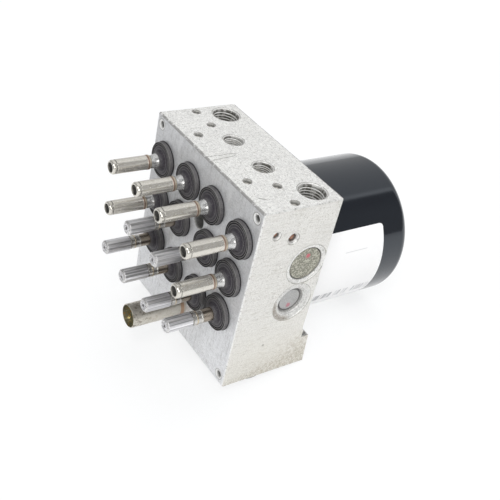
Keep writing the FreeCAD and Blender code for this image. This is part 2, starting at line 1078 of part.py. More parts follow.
def motor_lug(angle):
    """Flange ear for one motor screw, with flanks that run into the flange."""
    place = lug_place(angle, lug_circle_radius) + inward * rear_y
    ear = rod(lug_radius, place, inward, can_flange_thickness)
    start = can_inner_radius() + can_wall / 2
    web = box_between(
        Vector(start, rear_y, -lug_radius), Vector(lug_circle_radius, rear_y + can_flange_thickness, lug_radius)
    )
    web.rotate(Vector(0, 0, 0), Vector(0, -1, 0), angle)
    web.translate(axis_point)
    hole = rod(screw_radius + screw_hole_clearance, place, inward, can_flange_thickness)
    return ear.fuse(web).cut(hole)


def motor_screws():
    screws = []
    for angle in lug_angles:
        seat = lug_place(angle, lug_circle_radius) + inward * (rear_y + can_flange_thickness)
        shank = rod(screw_radius, seat, outward, can_flange_thickness + screw_depth)
        head = rod(screw_head_radius, seat, inward, screw_head_height)
        corners = []
        for step in range(7):
            turn = math.radians(60 * step)
            reach = screw_socket_across / math.sqrt(3)
            corners.append(Vector(reach * math.cos(turn), 0, reach * math.sin(turn)))
        socket = Part.Face(Part.makePolygon(corners)).extrude(inward * screw_socket_depth)
        socket.translate(seat + inward * (screw_head_height - screw_socket_depth))
        screws.append(shank.fuse(head).cut(socket).removeSplitter())
    return Part.makeCompound(screws)


def brush_slot(clearance):
    """Box for one brush on the +X side of the commutator."""
    half = brush_height / 2 + clearance
    start = rear_y + brush_start - clearance
    return box_between(
        Vector(commutator_radius + shaft_clearance, start, motor_axis_z - half),
        Vector(brush_box_reach, start + brush_width + 2 * clearance, motor_axis_z + half),
    )


def motor_end_plate():
    """Plate in the can's mouth with a pilot for the front bearing and two brush boxes."""
    plate_radius = can_inner_radius() - can_mouth_clearance
    bearing_end = front_bearing_length - pilot_length
    outline = [
        (front_bearing_radius, -pilot_length),
        (chamber_radius, -pilot_length),
        (chamber_radius, 0),
        (plate_radius, 0),
        (plate_radius, end_plate_thickness),
        (shaft_radius + 1, end_plate_thickness),
        (shaft_radius + 1, bearing_end),
        (front_bearing_radius, bearing_end),
    ]
    plate = turned(outline, on_axis(0), inward)
    half = brush_height / 2 + brush_box_wall
    start = rear_y + end_plate_thickness
    holder = box_between(
        Vector(commutator_radius + 1, start, motor_axis_z - half),
        Vector(brush_box_reach, start + brush_box_length, motor_axis_z + half),
    )
    holder = holder.cut(brush_slot(brush_clearance))
    lead = rod(lead_hole_radius / 2, Vector(lead_hole_x, rear_y, lead_hole_z), inward, end_plate_thickness)
    return plate.fuse(both_sides(holder)).cut(lead).removeSplitter()


def motor_brushes():
    brush = brush_slot(0).cut(rod(commutator_radius + shaft_clearance, on_axis(0), inward, can_length))
    return Part.makeCompound(both_sides(brush))


def motor_magnets():
    inner = armature_radius + magnet_air_gap
    outer = can_inner_radius()
    start = armature_start - magnet_margin
    length = armature_length + 2 * magnet_margin
    magnets = []
    for index in range(magnet_count):
        first = 360.0 / magnet_count * index + (360.0 / magnet_count - magnet_span) / 2
        sector = turned_sector(inner, outer, length, on_axis(start), first, magnet_span)
        magnets.append(sector)
    return Part.makeCompound(magnets)


def turned_sector(inner, outer, length, base, first_angle, span):
    """Part of a tube about the motor axis, from one angle, measured from +X up towards +Z."""
    face = Part.Face(
        Part.makePolygon(
            [
                Vector(inner, 0, 0),
                Vector(outer, 0, 0),
                Vector(outer, length, 0),
                Vector(inner, length, 0),
                Vector(inner, 0, 0),
            ]
        )
    )
    sector = face.revolve(Vector(0, 0, 0), Vector(0, -1, 0), span)
    sector.rotate(Vector(0, 0, 0), Vector(0, -1, 0), first_angle)
    sector.translate(base)
    return sector


def rotor_shaft():
    """Shaft with the eccentric in one piece; the eccentric points straight up at rest."""
    rear_end = can_length + bearing_boss_height - can_wall - shaft_end_gap
    length = rear_y + rear_end - pump_y
    main = rod(shaft_radius, Vector(0, pump_y, motor_axis_z), inward, length)
    nose_end = chamber_bottom_y - shaft_nose_length + chamber_bottom_gap
    nose = rod(shaft_nose_radius, Vector(0, nose_end, motor_axis_z), inward, pump_y - nose_end)
    eccentric_start = Vector(0, pump_y - eccentric_length / 2, motor_axis_z + eccentric_offset)
    eccentric = rod(eccentric_radius, eccentric_start, inward, eccentric_length)
    return main.fuse([nose, eccentric]).removeSplitter()


def eccentric_bearing():
    base = Vector(0, pump_y - ring_length / 2, motor_axis_z + eccentric_offset)
    return tube(eccentric_radius, ring_radius, base, inward, ring_length)


def bearing(radius, length, base):
    """Shielded ball bearing with a shallow ring recess in both faces."""
    bore = shaft_radius + shaft_clearance
    wall = (radius - bore) / 4
    recess = length / 12
    outline = [
        (bore, 0),
        (bore + wall, 0),
        (bore + wall, recess),
        (radius - wall, recess),
        (radius - wall, 0),
        (radius, 0),
        (radius, length),
        (radius - wall, length),
        (radius - wall, length - recess),
        (bore + wall, length - recess),
        (bore + wall, length),
        (bore, length),
    ]
    return turned(outline, base, inward)


def front_bearing():
    return bearing(front_bearing_radius, front_bearing_length, on_axis(-pilot_length))


def rear_bearing():
    start = can_length + bearing_boss_height - can_wall - rear_bearing_length
    return bearing(rear_bearing_radius, rear_bearing_length, on_axis(start))


def commutator():
    base = on_axis(commutator_start)
    body = tube(shaft_radius, commutator_radius, base, inward, commutator_length)
    slots = []
    for index in range(commutator_bars):
        slot = box_between(
            Vector(commutator_radius - commutator_slot_depth, 0, -commutator_slot_width / 2),
            Vector(commutator_radius + 1, commutator_length, commutator_slot_width / 2),
        )
        slot.rotate(Vector(0, 0, 0), Vector(0, 1, 0), 360.0 / commutator_bars * (index + 0.5))
        slot.translate(base)
        slots.append(slot)
    return body.cut(slots)


def armature_slot(shrink):
    """One winding slot with a narrow mouth, along the armature, at angle zero."""
    half = armature_slot_width / 2 - shrink
    depth = armature_length
    pocket = box_between(
        Vector(armature_root_radius + shrink, 0, -half),
        Vector(winding_outer_radius - shrink, depth, half),
    )
    return pocket


def turned_copies(shape, count, base):
    copies = []
    for index in range(count):
        copy = shape.copy()
        copy.rotate(Vector(0, 0, 0), Vector(0, 1, 0), 360.0 / count * index)
        copy.translate(base)
        copies.append(copy)
    return copies


def armature_core():
    """Laminated stack with slots for the windings."""
    base = on_axis(armature_start)
    core = tube(shaft_radius, armature_radius, base, inward, armature_length)
    mouth = box_between(
        Vector(winding_outer_radius - winding_clearance, 0, -armature_slot_mouth / 2),
        Vector(armature_radius + 1, armature_length, armature_slot_mouth / 2),
    )
    slot = armature_slot(0).fuse(mouth)
    return core.cut(turned_copies(slot, armature_slots, base))


def armature_windings():
    """Copper in the slots, joined by the end turns at both ends of the stack."""
    slot_base = on_axis(armature_start)
    bars = turned_copies(armature_slot(winding_clearance), armature_slots, slot_base)
    rings = []
    for start in (armature_start - winding_overhang, armature_start + armature_length):
        edge = winding_overhang / 3
        outline = [
            (winding_inner_radius, 0),
            (winding_outer_radius - edge, 0),
            (winding_outer_radius, edge),
            (winding_outer_radius, winding_overhang - edge),
            (winding_outer_radius - edge, winding_overhang),
            (winding_inner_radius, winding_overhang),
        ]
        rings.append(turned(outline, on_axis(start), inward))
    return rings[0].fuse(bars + rings[1:]).removeSplitter()


def motor_label():
    """Thin printed sheet wrapped round the can."""
    length = label_end - label_start
    span = label_top_angle - label_bottom_angle
    sheet = turned_sector(
        can_radius, can_radius + label_thickness, length, on_axis(label_start), label_bottom_angle, span
    )
    along = [edge for edge in sheet.Edges if abs(edge.Length - label_thickness) < 1e-4]
    return sheet.makeFillet(label_corner, along)


# Output

def write_part(name, shape):
    shape.exportStep(os.path.join("parts", name + ".step"))
    print(name, "valid", shape.isValid(), "solids", len(shape.Solids), "volume", round(shape.Volume, 1))


def write_pair(name, shape):
    write_part(name + "_right", shape)
    write_part(name + "_left", mirrored(shape))


def write_parts():
    os.makedirs("parts", exist_ok=True)
    write_part("hydraulic_block", hydraulic_block())
    for index, place in enumerate(inlet_places, 1):
        write_part("inlet_valve_sleeve_%d" % index, inlet_sleeve(place))
        write_part("inlet_valve_plunger_%d" % index, inlet_plunger(place))
    for index, place in enumerate(outlet_places, 1):
        write_part("outlet_valve_sleeve_%d" % index, outlet_sleeve(place))
        write_part("outlet_valve_plunger_%d" % index, outlet_plunger(place))
    rows = {
        "top_row_seals": inlet_places[:4],
        "middle_row_seals": inlet_places[4:] + outlet_places[:2],
        "bottom_row_seals": outlet_places[2:],
    }
    for name, places in rows.items():
        write_part(name, Part.makeCompound([valve_seal(place) for place in places]))
    write_part("pressure_sensor_sleeve", sensor_sleeve())
    write_part("sensor_circuit_board", sensor_board())
    write_part("sensor_contacts", sensor_contacts())
    write_pair("pump_plug", pump_plug())
    write_pair("pump_piston", pump_piston())
    write_pair("pump_spring", pump_spring())
    write_pair("damper_plug", damper_plug())
    write_part("top_sealing_balls", top_balls())
    write_part("side_sealing_balls", side_balls())
    write_pair("accumulator_piston", accumulator_piston())
    write_pair("accumulator_spring", accumulator_spring())
    write_pair("accumulator_cap", accumulator_cap())
    write_part("motor_can", motor_can())
    write_part("motor_end_plate", motor_end_plate())
    write_part("motor_magnets", motor_magnets())
    write_part("motor_brushes", motor_brushes())
    write_part("motor_screws", motor_screws())
    write_part("motor_label", motor_label())
    write_part("rotor_shaft", rotor_shaft())
    write_part("eccentric_bearing", eccentric_bearing())
    write_part("armature_core", armature_core())
    write_part("armature_windings", armature_windings())
    write_part("commutator", commutator())
    write_part("front_bearing", front_bearing())
    write_part("rear_bearing", rear_bearing())


write_parts()
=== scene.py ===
import bpy
import bmesh
import json
import math
from mathutils import Matrix, Vector

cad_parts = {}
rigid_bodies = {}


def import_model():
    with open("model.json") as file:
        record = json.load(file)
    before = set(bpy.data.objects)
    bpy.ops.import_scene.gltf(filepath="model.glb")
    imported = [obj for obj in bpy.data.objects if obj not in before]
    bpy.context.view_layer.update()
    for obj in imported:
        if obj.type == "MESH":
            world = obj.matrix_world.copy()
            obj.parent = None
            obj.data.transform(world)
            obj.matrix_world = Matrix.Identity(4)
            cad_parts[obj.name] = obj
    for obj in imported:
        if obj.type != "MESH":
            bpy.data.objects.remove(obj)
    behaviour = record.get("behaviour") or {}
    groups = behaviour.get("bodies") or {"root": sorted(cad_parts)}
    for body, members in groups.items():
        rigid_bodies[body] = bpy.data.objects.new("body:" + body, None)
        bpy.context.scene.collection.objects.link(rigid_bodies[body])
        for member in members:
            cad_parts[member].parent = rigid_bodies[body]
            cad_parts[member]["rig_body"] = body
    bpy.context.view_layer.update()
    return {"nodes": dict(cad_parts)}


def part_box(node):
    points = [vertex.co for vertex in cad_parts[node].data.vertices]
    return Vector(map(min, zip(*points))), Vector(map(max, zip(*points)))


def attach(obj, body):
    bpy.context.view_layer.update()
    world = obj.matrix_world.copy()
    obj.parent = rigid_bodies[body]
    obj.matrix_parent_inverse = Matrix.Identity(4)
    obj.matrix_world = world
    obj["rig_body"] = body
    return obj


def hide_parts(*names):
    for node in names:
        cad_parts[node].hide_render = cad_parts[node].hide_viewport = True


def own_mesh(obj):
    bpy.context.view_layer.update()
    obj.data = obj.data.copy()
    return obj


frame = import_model()
print("frame loaded:", len(frame["nodes"]), "nodes")

mm = 0.001
blockFace = -22.5         # mm, front face of the block
blockBack = 22.5
blockTop = 103.0
blockSide = 47.0
motorAxis = 45.9          # mm above the underside
sensorAxis = 17.0


# node trees

class Wire:               # a socket that can be used in Python expressions
    def __init__(self, graph, socket):
        self.graph = graph
        self.socket = socket

    def math(self, operation, *values):
        node = self.graph.tree.nodes.new("ShaderNodeMath")
        node.operation = operation
        for slot, value in zip(node.inputs, values):
            self.graph.plug(value, slot)
        return Wire(self.graph, node.outputs[0])

    def beside(self, output):      # another output of the same node
        return Wire(self.graph, self.socket.node.outputs[output])

    def __add__(self, other):
        return self.math("ADD", self, other)

    def __radd__(self, other):
        return self.math("ADD", other, self)

    def __sub__(self, other):
        return self.math("SUBTRACT", self, other)

    def __rsub__(self, other):
        return self.math("SUBTRACT", other, self)

    def __mul__(self, other):
        return self.math("MULTIPLY", self, other)

    def __rmul__(self, other):
        return self.math("MULTIPLY", other, self)

    def __truediv__(self, other):
        return self.math("DIVIDE", self, other)

    def __pow__(self, other):
        return self.math("POWER", self, other)

    def __abs__(self):
        return self.math("ABSOLUTE", self)

    def least(self, other):
        return self.math("MINIMUM", self, other)

    def most(self, other):
        return self.math("MAXIMUM", self, other)


def mostOf(masks):
    whole = masks[0]
    for mask in masks[1:]:
        whole = whole.most(mask)
    return whole


class Graph:              # one node tree, filled node by node
    def __init__(self, tree):
        self.tree = tree

    def plug(self, value, slot):
        if isinstance(value, Wire):
            self.tree.links.new(value.socket, slot)
        else:
            slot.default_value = value

    def add(self, kind, settings=None, inputs=None, output=0):
        node = self.tree.nodes.new(kind)
        for key, value in (settings or {}).items():
            setattr(node, key, value)
        for key, value in (inputs or {}).items():
            self.plug(value, node.inputs[key])
        return Wire(self, node.outputs[output])

    def end(self, kind, value):
        self.plug(value, self.tree.nodes.new(kind).inputs[0])

    def step(self, value, low, high):
        inputs = {"Value": value, "From Min": low, "From Max": high}
        return self.add("ShaderNodeMapRange", {"interpolation_type": "SMOOTHSTEP"}, inputs)

    def band(self, value, low, high, soft):
        return self.step(value, low - soft, low + soft) * (1 - self.step(value, high - soft, high + soft))


class Finish(Graph):      # a material; patterns read Object coordinates in millimetres
    def __init__(self, name, fixed=None):
        self.material = bpy.data.materials.new(name)
        self.material.use_nodes = True
        super().__init__(self.material.node_tree)
        self.shader = next(n for n in self.tree.nodes if n.type == "BSDF_PRINCIPLED")
        for socket, value in (fixed or {}).items():
            self.shader.inputs[socket].default_value = value
        place = self.add("ShaderNodeTexCoord", output="Object")
        self.place = self.add("ShaderNodeVectorMath", {"operation": "SCALE"}, {0: place, "Scale": 1 / mm})
        self.x = self.add("ShaderNodeSeparateXYZ", None, {0: self.place})
        self.y, self.z = self.x.beside("Y"), self.x.beside("Z")

    def noise(self, scale, detail=3.0, rough=0.5, stretch=None):
        place = self.place
        if stretch:
            place = self.add("ShaderNodeVectorMath", {"operation": "MULTIPLY"}, {0: place, 1: stretch})
        inputs = {"Vector": place, "Scale": scale, "Detail": detail, "Roughness": rough}
        return self.add("ShaderNodeTexNoise", None, inputs, "Fac")

    def cells(self, scale, feature="F1"):
        inputs = {"Vector": self.place, "Scale": scale}
        return self.add("ShaderNodeTexVoronoi", {"feature": feature}, inputs, "Distance")

    def cellShade(self, scale):
        colour = self.add("ShaderNodeTexVoronoi", None, {"Vector": self.place, "Scale": scale}, "Color")
        return self.add("ShaderNodeSeparateXYZ", None, {0: colour}, "X")

    def blend(self, mask, first, second):
        first, second = ((*c, 1.0) if isinstance(c, tuple) else c for c in (first, second))
        return self.add("ShaderNodeMix", {"data_type": "RGBA"}, {0: mask, 6: first, 7: second}, 2)

    def painted(self, tone, look, layers):      # each layer is a mask and the name of its colour
        for mask, colour in layers:
            tone = self.blend(mask, tone, look[colour])
        return tone

    def shaded(self, colour, factor):
        if not isinstance(colour, Wire):
            colour = self.add("ShaderNodeCombineXYZ", None, dict(enumerate(colour)))
        return self.add("ShaderNodeVectorMath", {"operation": "SCALE"}, {0: colour, "Scale": factor})

    def mark(self, name):              # a value kept on the mesh
        return self.add("ShaderNodeAttribute", {"attribute_name": name}, None, "Fac")

    def away(self, first, second, a, b):      # distance from a point in a plane
        return ((first - a) * (first - a) + (second - b) * (second - b)) ** 0.5

    def angleAbout(self, height):      # degrees about a fore-and-aft axis, from +X up
        return self.x.math("ARCTAN2", self.z - height, self.x) * (180 / math.pi)

    def close(self, colour, roughness, metallic=None, height=None, depth=0.05):
        self.plug(colour, self.shader.inputs["Base Color"])
        self.plug(roughness, self.shader.inputs["Roughness"])
        if metallic is not None:
            self.plug(metallic, self.shader.inputs["Metallic"])
        if height is not None:
            inputs = {"Strength": 1.0, "Distance": depth * mm, "Height": height}
            self.plug(self.add("ShaderNodeBump", None, inputs), self.shader.inputs["Normal"])
        return self.material


# mesh tools

def pieceFrom(mesh, name, material, sharp=32):
    mesh.materials.clear()
    mesh.materials.append(material)
    for face in mesh.polygons:
        face.material_index = 0
    mesh.shade_smooth()
    mesh.set_sharp_from_angle(angle=math.radians(sharp))
    piece = bpy.data.objects.new(name, mesh)
    bpy.context.scene.collection.objects.link(piece)
    return piece


def finishedCopy(node, name, material):
    mesh = frame["nodes"][node].data.copy()
    if "custom_normal" in mesh.attributes:
        mesh.attributes.remove(mesh.attributes["custom_normal"])
    shape = bmesh.new()
    shape.from_mesh(mesh)
    bmesh.ops.remove_doubles(shape, verts=shape.verts, dist=2e-6)
    shape.to_mesh(mesh)
    shape.free()
    return pieceFrom(mesh, name, material)


def softened(profile, reach):      # eases each corner of an open outline
    steps = 3
    points = [profile[0]]
    for before, corner, after in zip(profile, profile[1:], profile[2:]):
        a, b, c = Vector(before), Vector(corner), Vector(after)
        inLength, outLength = (b - a).length, (c - b).length
        cut = min(reach, inLength * 0.4, outLength * 0.4)
        if cut < 0.01 or (b - a).angle(c - b) < 0.2:
            points.append(corner)
            continue
        start = b + (a - b).normalized() * cut
        end = b + (c - b).normalized() * cut
        for index in range(steps + 1):
            t = index / steps
            points.append(tuple(start * (1 - t) ** 2 + b * (2 * t * (1 - t)) + end * t * t))
    return points + [profile[-1]]


def quarter(x, height, wide, tall, steps):      # a quarter of an ellipse, from its side to its top
    angles = [math.pi / 2 * index / steps for index in range(steps + 1)]
    return [(x + wide * math.cos(angle), height + tall * math.sin(angle)) for angle in angles]


def lathe(name, profile, around=64, base=(0, 0, 0), towards=(0, -1, 0), closed=False):
    turn = Vector((0, 0, 1)).rotation_difference(Vector(towards)).to_matrix().to_4x4()
    place = Matrix.Translation(Vector(base)) @ turn
    verts, faces, rings, reaches, levels = [], [], [], [], []
    for radius, height in profile:
        count = 1 if radius < 1e-6 else around
        rings.append(range(len(verts), len(verts) + count))
        reaches += [radius] * count
        levels += [height] * count
        for index in range(count):
            angle = 2 * math.pi * index / around
            verts.append(place @ Vector((radius * math.cos(angle), radius * math.sin(angle), height)) * mm)
    pairs = list(zip(rings, rings[1:])) + ([(rings[-1], rings[0])] if closed else [])
    for low, high in pairs:
        for index in range(around if len(low) + len(high) > 2 else 0):
            after = (index + 1) % around
            turns = ((low, index), (low, after), (high, after), (high, index))
            faces.append(tuple(dict.fromkeys(ring[step % len(ring)] for ring, step in turns)))
    mesh = bpy.data.meshes.new(name)
    mesh.from_pydata(verts, [], faces)
    mesh.attributes.new("fromAxis", "FLOAT", "POINT").data.foreach_set("value", reaches)
    mesh.attributes.new("alongAxis", "FLOAT", "POINT").data.foreach_set("value", levels)
    return faceOut(mesh)


def faceOut(mesh):
    shape = bmesh.new()
    shape.from_mesh(mesh)
    bmesh.ops.remove_doubles(shape, verts=shape.verts, dist=1e-7)
    bmesh.ops.recalc_face_normals(shape, faces=shape.faces)
    shape.to_mesh(mesh)
    shape.free()
    return mesh


def joined(name, meshes):
    whole = bmesh.new()
    for mesh in meshes:
        whole.from_mesh(mesh)
    mesh = bpy.data.meshes.new(name)
    whole.to_mesh(mesh)
    whole.free()
    return mesh


def mirroredMesh(mesh):
    twin = mesh.copy()
    twin.transform(Matrix.Scale(-1, 4, (1, 0, 0)))
    return faceOut(twin)


# geometry node trees

def newTree(name, sockets):
    tree = bpy.data.node_groups.new(name, "GeometryNodeTree")
    tree.interface.new_socket("Geometry", in_out="INPUT", socket_type="NodeSocketGeometry")
    for socketName, kind in sockets:
        tree.interface.new_socket(socketName, in_out="INPUT", socket_type=kind)
    tree.interface.new_socket("Geometry", in_out="OUTPUT", socket_type="NodeSocketGeometry")
    graph = Graph(tree)
    return graph, graph.add("NodeGroupInput").beside


def treeEnd(graph, geometry, material):
    realized = graph.add("GeometryNodeRealizeInstances", None, {0: geometry})
    dressed = graph.add("GeometryNodeSetMaterial", None, {"Geometry": realized, "Material": material})
    graph.end("NodeGroupOutput", dressed)
    return graph.tree


def grown(name, tree, points, values, sharp=32):      # runs a tree on some points and keeps the plain mesh
    mesh = bpy.data.meshes.new(name)
    mesh.from_pydata([Vector(point) * mm for point in points], [], [])
    carrier = bpy.data.objects.new(name + "Points", mesh)
    bpy.context.scene.collection.objects.link(carrier)
    modifier = carrier.modifiers.new("grow", "NODES")
    modifier.node_group = tree
    for item in tree.interface.items_tree:
        if item.item_type == "SOCKET" and item.in_out == "INPUT" and item.name in values:
            modifier[item.identifier] = values[item.name]
    depsgraph = bpy.context.evaluated_depsgraph_get()
    result = bpy.data.meshes.new_from_object(carrier.evaluated_get(depsgraph), preserve_all_data_layers=True,
                                             depsgraph=depsgraph)
    result.name = name
    carrier.modifiers.clear()
    bpy.data.objects.remove(carrier)
    return pieceFrom(result, name, values["Finish"], sharp)


def setOfTurnedPieces():
    graph, given = newTree("turned pieces on seats", [
        ("Piece", "NodeSocketObject"), ("Turn Seed", "NodeSocketInt"), ("Finish", "NodeSocketMaterial")])
    source = graph.add("GeometryNodeObjectInfo", {"transform_space": "ORIGINAL"},
                       {"Object": given("Piece")}, "Geometry")
    turn = graph.add("FunctionNodeRandomValue", {"data_type": "FLOAT_VECTOR"},
                     {"Min": (0, 0, 0), "Max": (0, 2 * math.pi, 0), "Seed": given("Turn Seed")})
    placed = graph.add("GeometryNodeInstanceOnPoints", None,
                       {"Points": given("Geometry"), "Instance": source, "Rotation": turn})
    shade = graph.add("FunctionNodeRandomValue", {"data_type": "FLOAT"}, {"Seed": given("Turn Seed")}, 1)
    marked = graph.add("GeometryNodeStoreNamedAttribute", {"data_type": "FLOAT", "domain": "INSTANCE"},
                       {"Geometry": placed, "Name": "pieceShade", "Value": shade})
    return treeEnd(graph, marked, given("Finish"))


def threadInPort():
    graph, given = newTree("port thread", [
        ("Bore Radius", "NodeSocketFloat"), ("Pitch", "NodeSocketFloat"), ("Turns", "NodeSocketFloat"),
        ("Ridge", "NodeSocketFloat"), ("Finish", "NodeSocketMaterial")])
    radius, turns = given("Bore Radius"), given("Turns")
    path = graph.add("GeometryNodeCurveSpiral", None, {
        "Resolution": 40, "Rotations": turns, "Start Radius": radius, "End Radius": radius,
        "Height": -1 * given("Pitch") * turns})
    profile = graph.add("GeometryNodeCurvePrimitiveCircle", {"mode": "RADIUS"},
                        {"Resolution": 4, "Radius": given("Ridge")})
    cord = graph.add("GeometryNodeCurveToMesh", None,
                     {"Curve": path, "Profile Curve": profile, "Fill Caps": True})
    placed = graph.add("GeometryNodeInstanceOnPoints", None, {"Points": given("Geometry"), "Instance": cord})
    return treeEnd(graph, placed, given("Finish"))


piecesOnSeats = setOfTurnedPieces()
portThread = threadInPort()


# finishes

openings = {      # mm: place across and along its face, radius of the rim, and of a port's bore
    "topHoles": ((42.7, -3.4, 2.2), (28.7, -3.1, 2.2), (21.5, -14.8, 2.2)),
    "topPorts": ((12.7, 0.0, 5.4, 4.55), (36.9, 11.0, 7.3, 6.25)),
    "sideSeats": ((10.5, 68.5, 11.4), (8.4, 45.9, 11.3), (-12.6, 89.6, 2.3), (-2.3, 86.1, 3.2)),
    "frontScrews": (42.4, 51.5, 46.7),      # from the middle, level of the middle, above and below it
    "pumpSeat": (8.4, 45.9), "portFloor": 102.3, "dent": (-2.7, 21.3)}


def blockPlaces(f):      # how far inside each pair of edges, and masks for the faces
    footReach = (1 - f.step(f.z, 18.4, 23.1)) * (6.1 - f.z * 0.0815)
    fromX = blockSide - abs(f.x)
    fromY = (f.y - blockFace).least(blockBack + footReach - f.y)
    fromZ = f.z.least(blockTop - f.z)
    front = 1 - f.step(f.y, blockFace + 0.05, blockFace + 0.30)
    onTop = f.step(f.z, blockTop - 0.3, blockTop - 0.05)
    onSide = 1 - f.step(fromX, 0.05, 0.3)
    return fromX, fromY, fromZ, front, onTop, onSide


def openingMarks(f, onTop, onSide):      # lines round the openings, and the inner walls of the ports
    rims, walls = [], []
    for across, along, rim in openings["topHoles"]:
        away = f.away(abs(f.x), f.y, across, along)
        rims.append((1 - f.step(abs(away - rim - 0.05), 0.05, 0.30)) * onTop)
    for across, along, rim, bore in openings["topPorts"]:
        away = f.away(abs(f.x), f.y, across, along)
        rims.append((1 - f.step(abs(away - rim - 0.05), 0.05, 0.25)) * onTop)
        below = 1 - f.step(f.z, openings["portFloor"], openings["portFloor"] + 0.5)
        walls.append((1 - f.step(away, bore + 0.3, bore + 0.8)) * below)
    for across, along, rim in openings["sideSeats"]:
        away = f.away(f.y, f.z, across, along)
        rims.append((1 - f.step(abs(away - rim), 0.05, 0.30)) * onSide)
    return mostOf(rims), mostOf(walls)


def toolMarks(f, patch, grain, onTop, onSide):      # two lines and a cut on top, a dent in the right side
    x, y = f.x, f.y
    waver = patch * 1.5
    first = (1 - f.step(abs(x + 1.55 - (y + 24.3) * 0.05 + waver), 0.10, 0.30)) * f.band(y, -22, -5.5, 1)
    second = (1 - f.step(abs(x - 2.4 + (y + 22.9) * 0.085 + waver), 0.08, 0.28)) * f.band(y, -21, -7, 1)
    cut = (1 - f.step(abs(x - 35.9 - (y + 16.3) * 0.75), 0.15, 0.5)) * f.band(y, -18.2, -14.4, 0.4)
    marks = (first * f.step(grain, 0.35, 0.5)).most(second * 0.8).most(cut) * onTop
    dent = (1 - f.step(f.away(y, f.z, *openings["dent"]), 0.4, 1.0)) * onSide * f.step(x, 0, 0.1)
    return marks.most(dent)


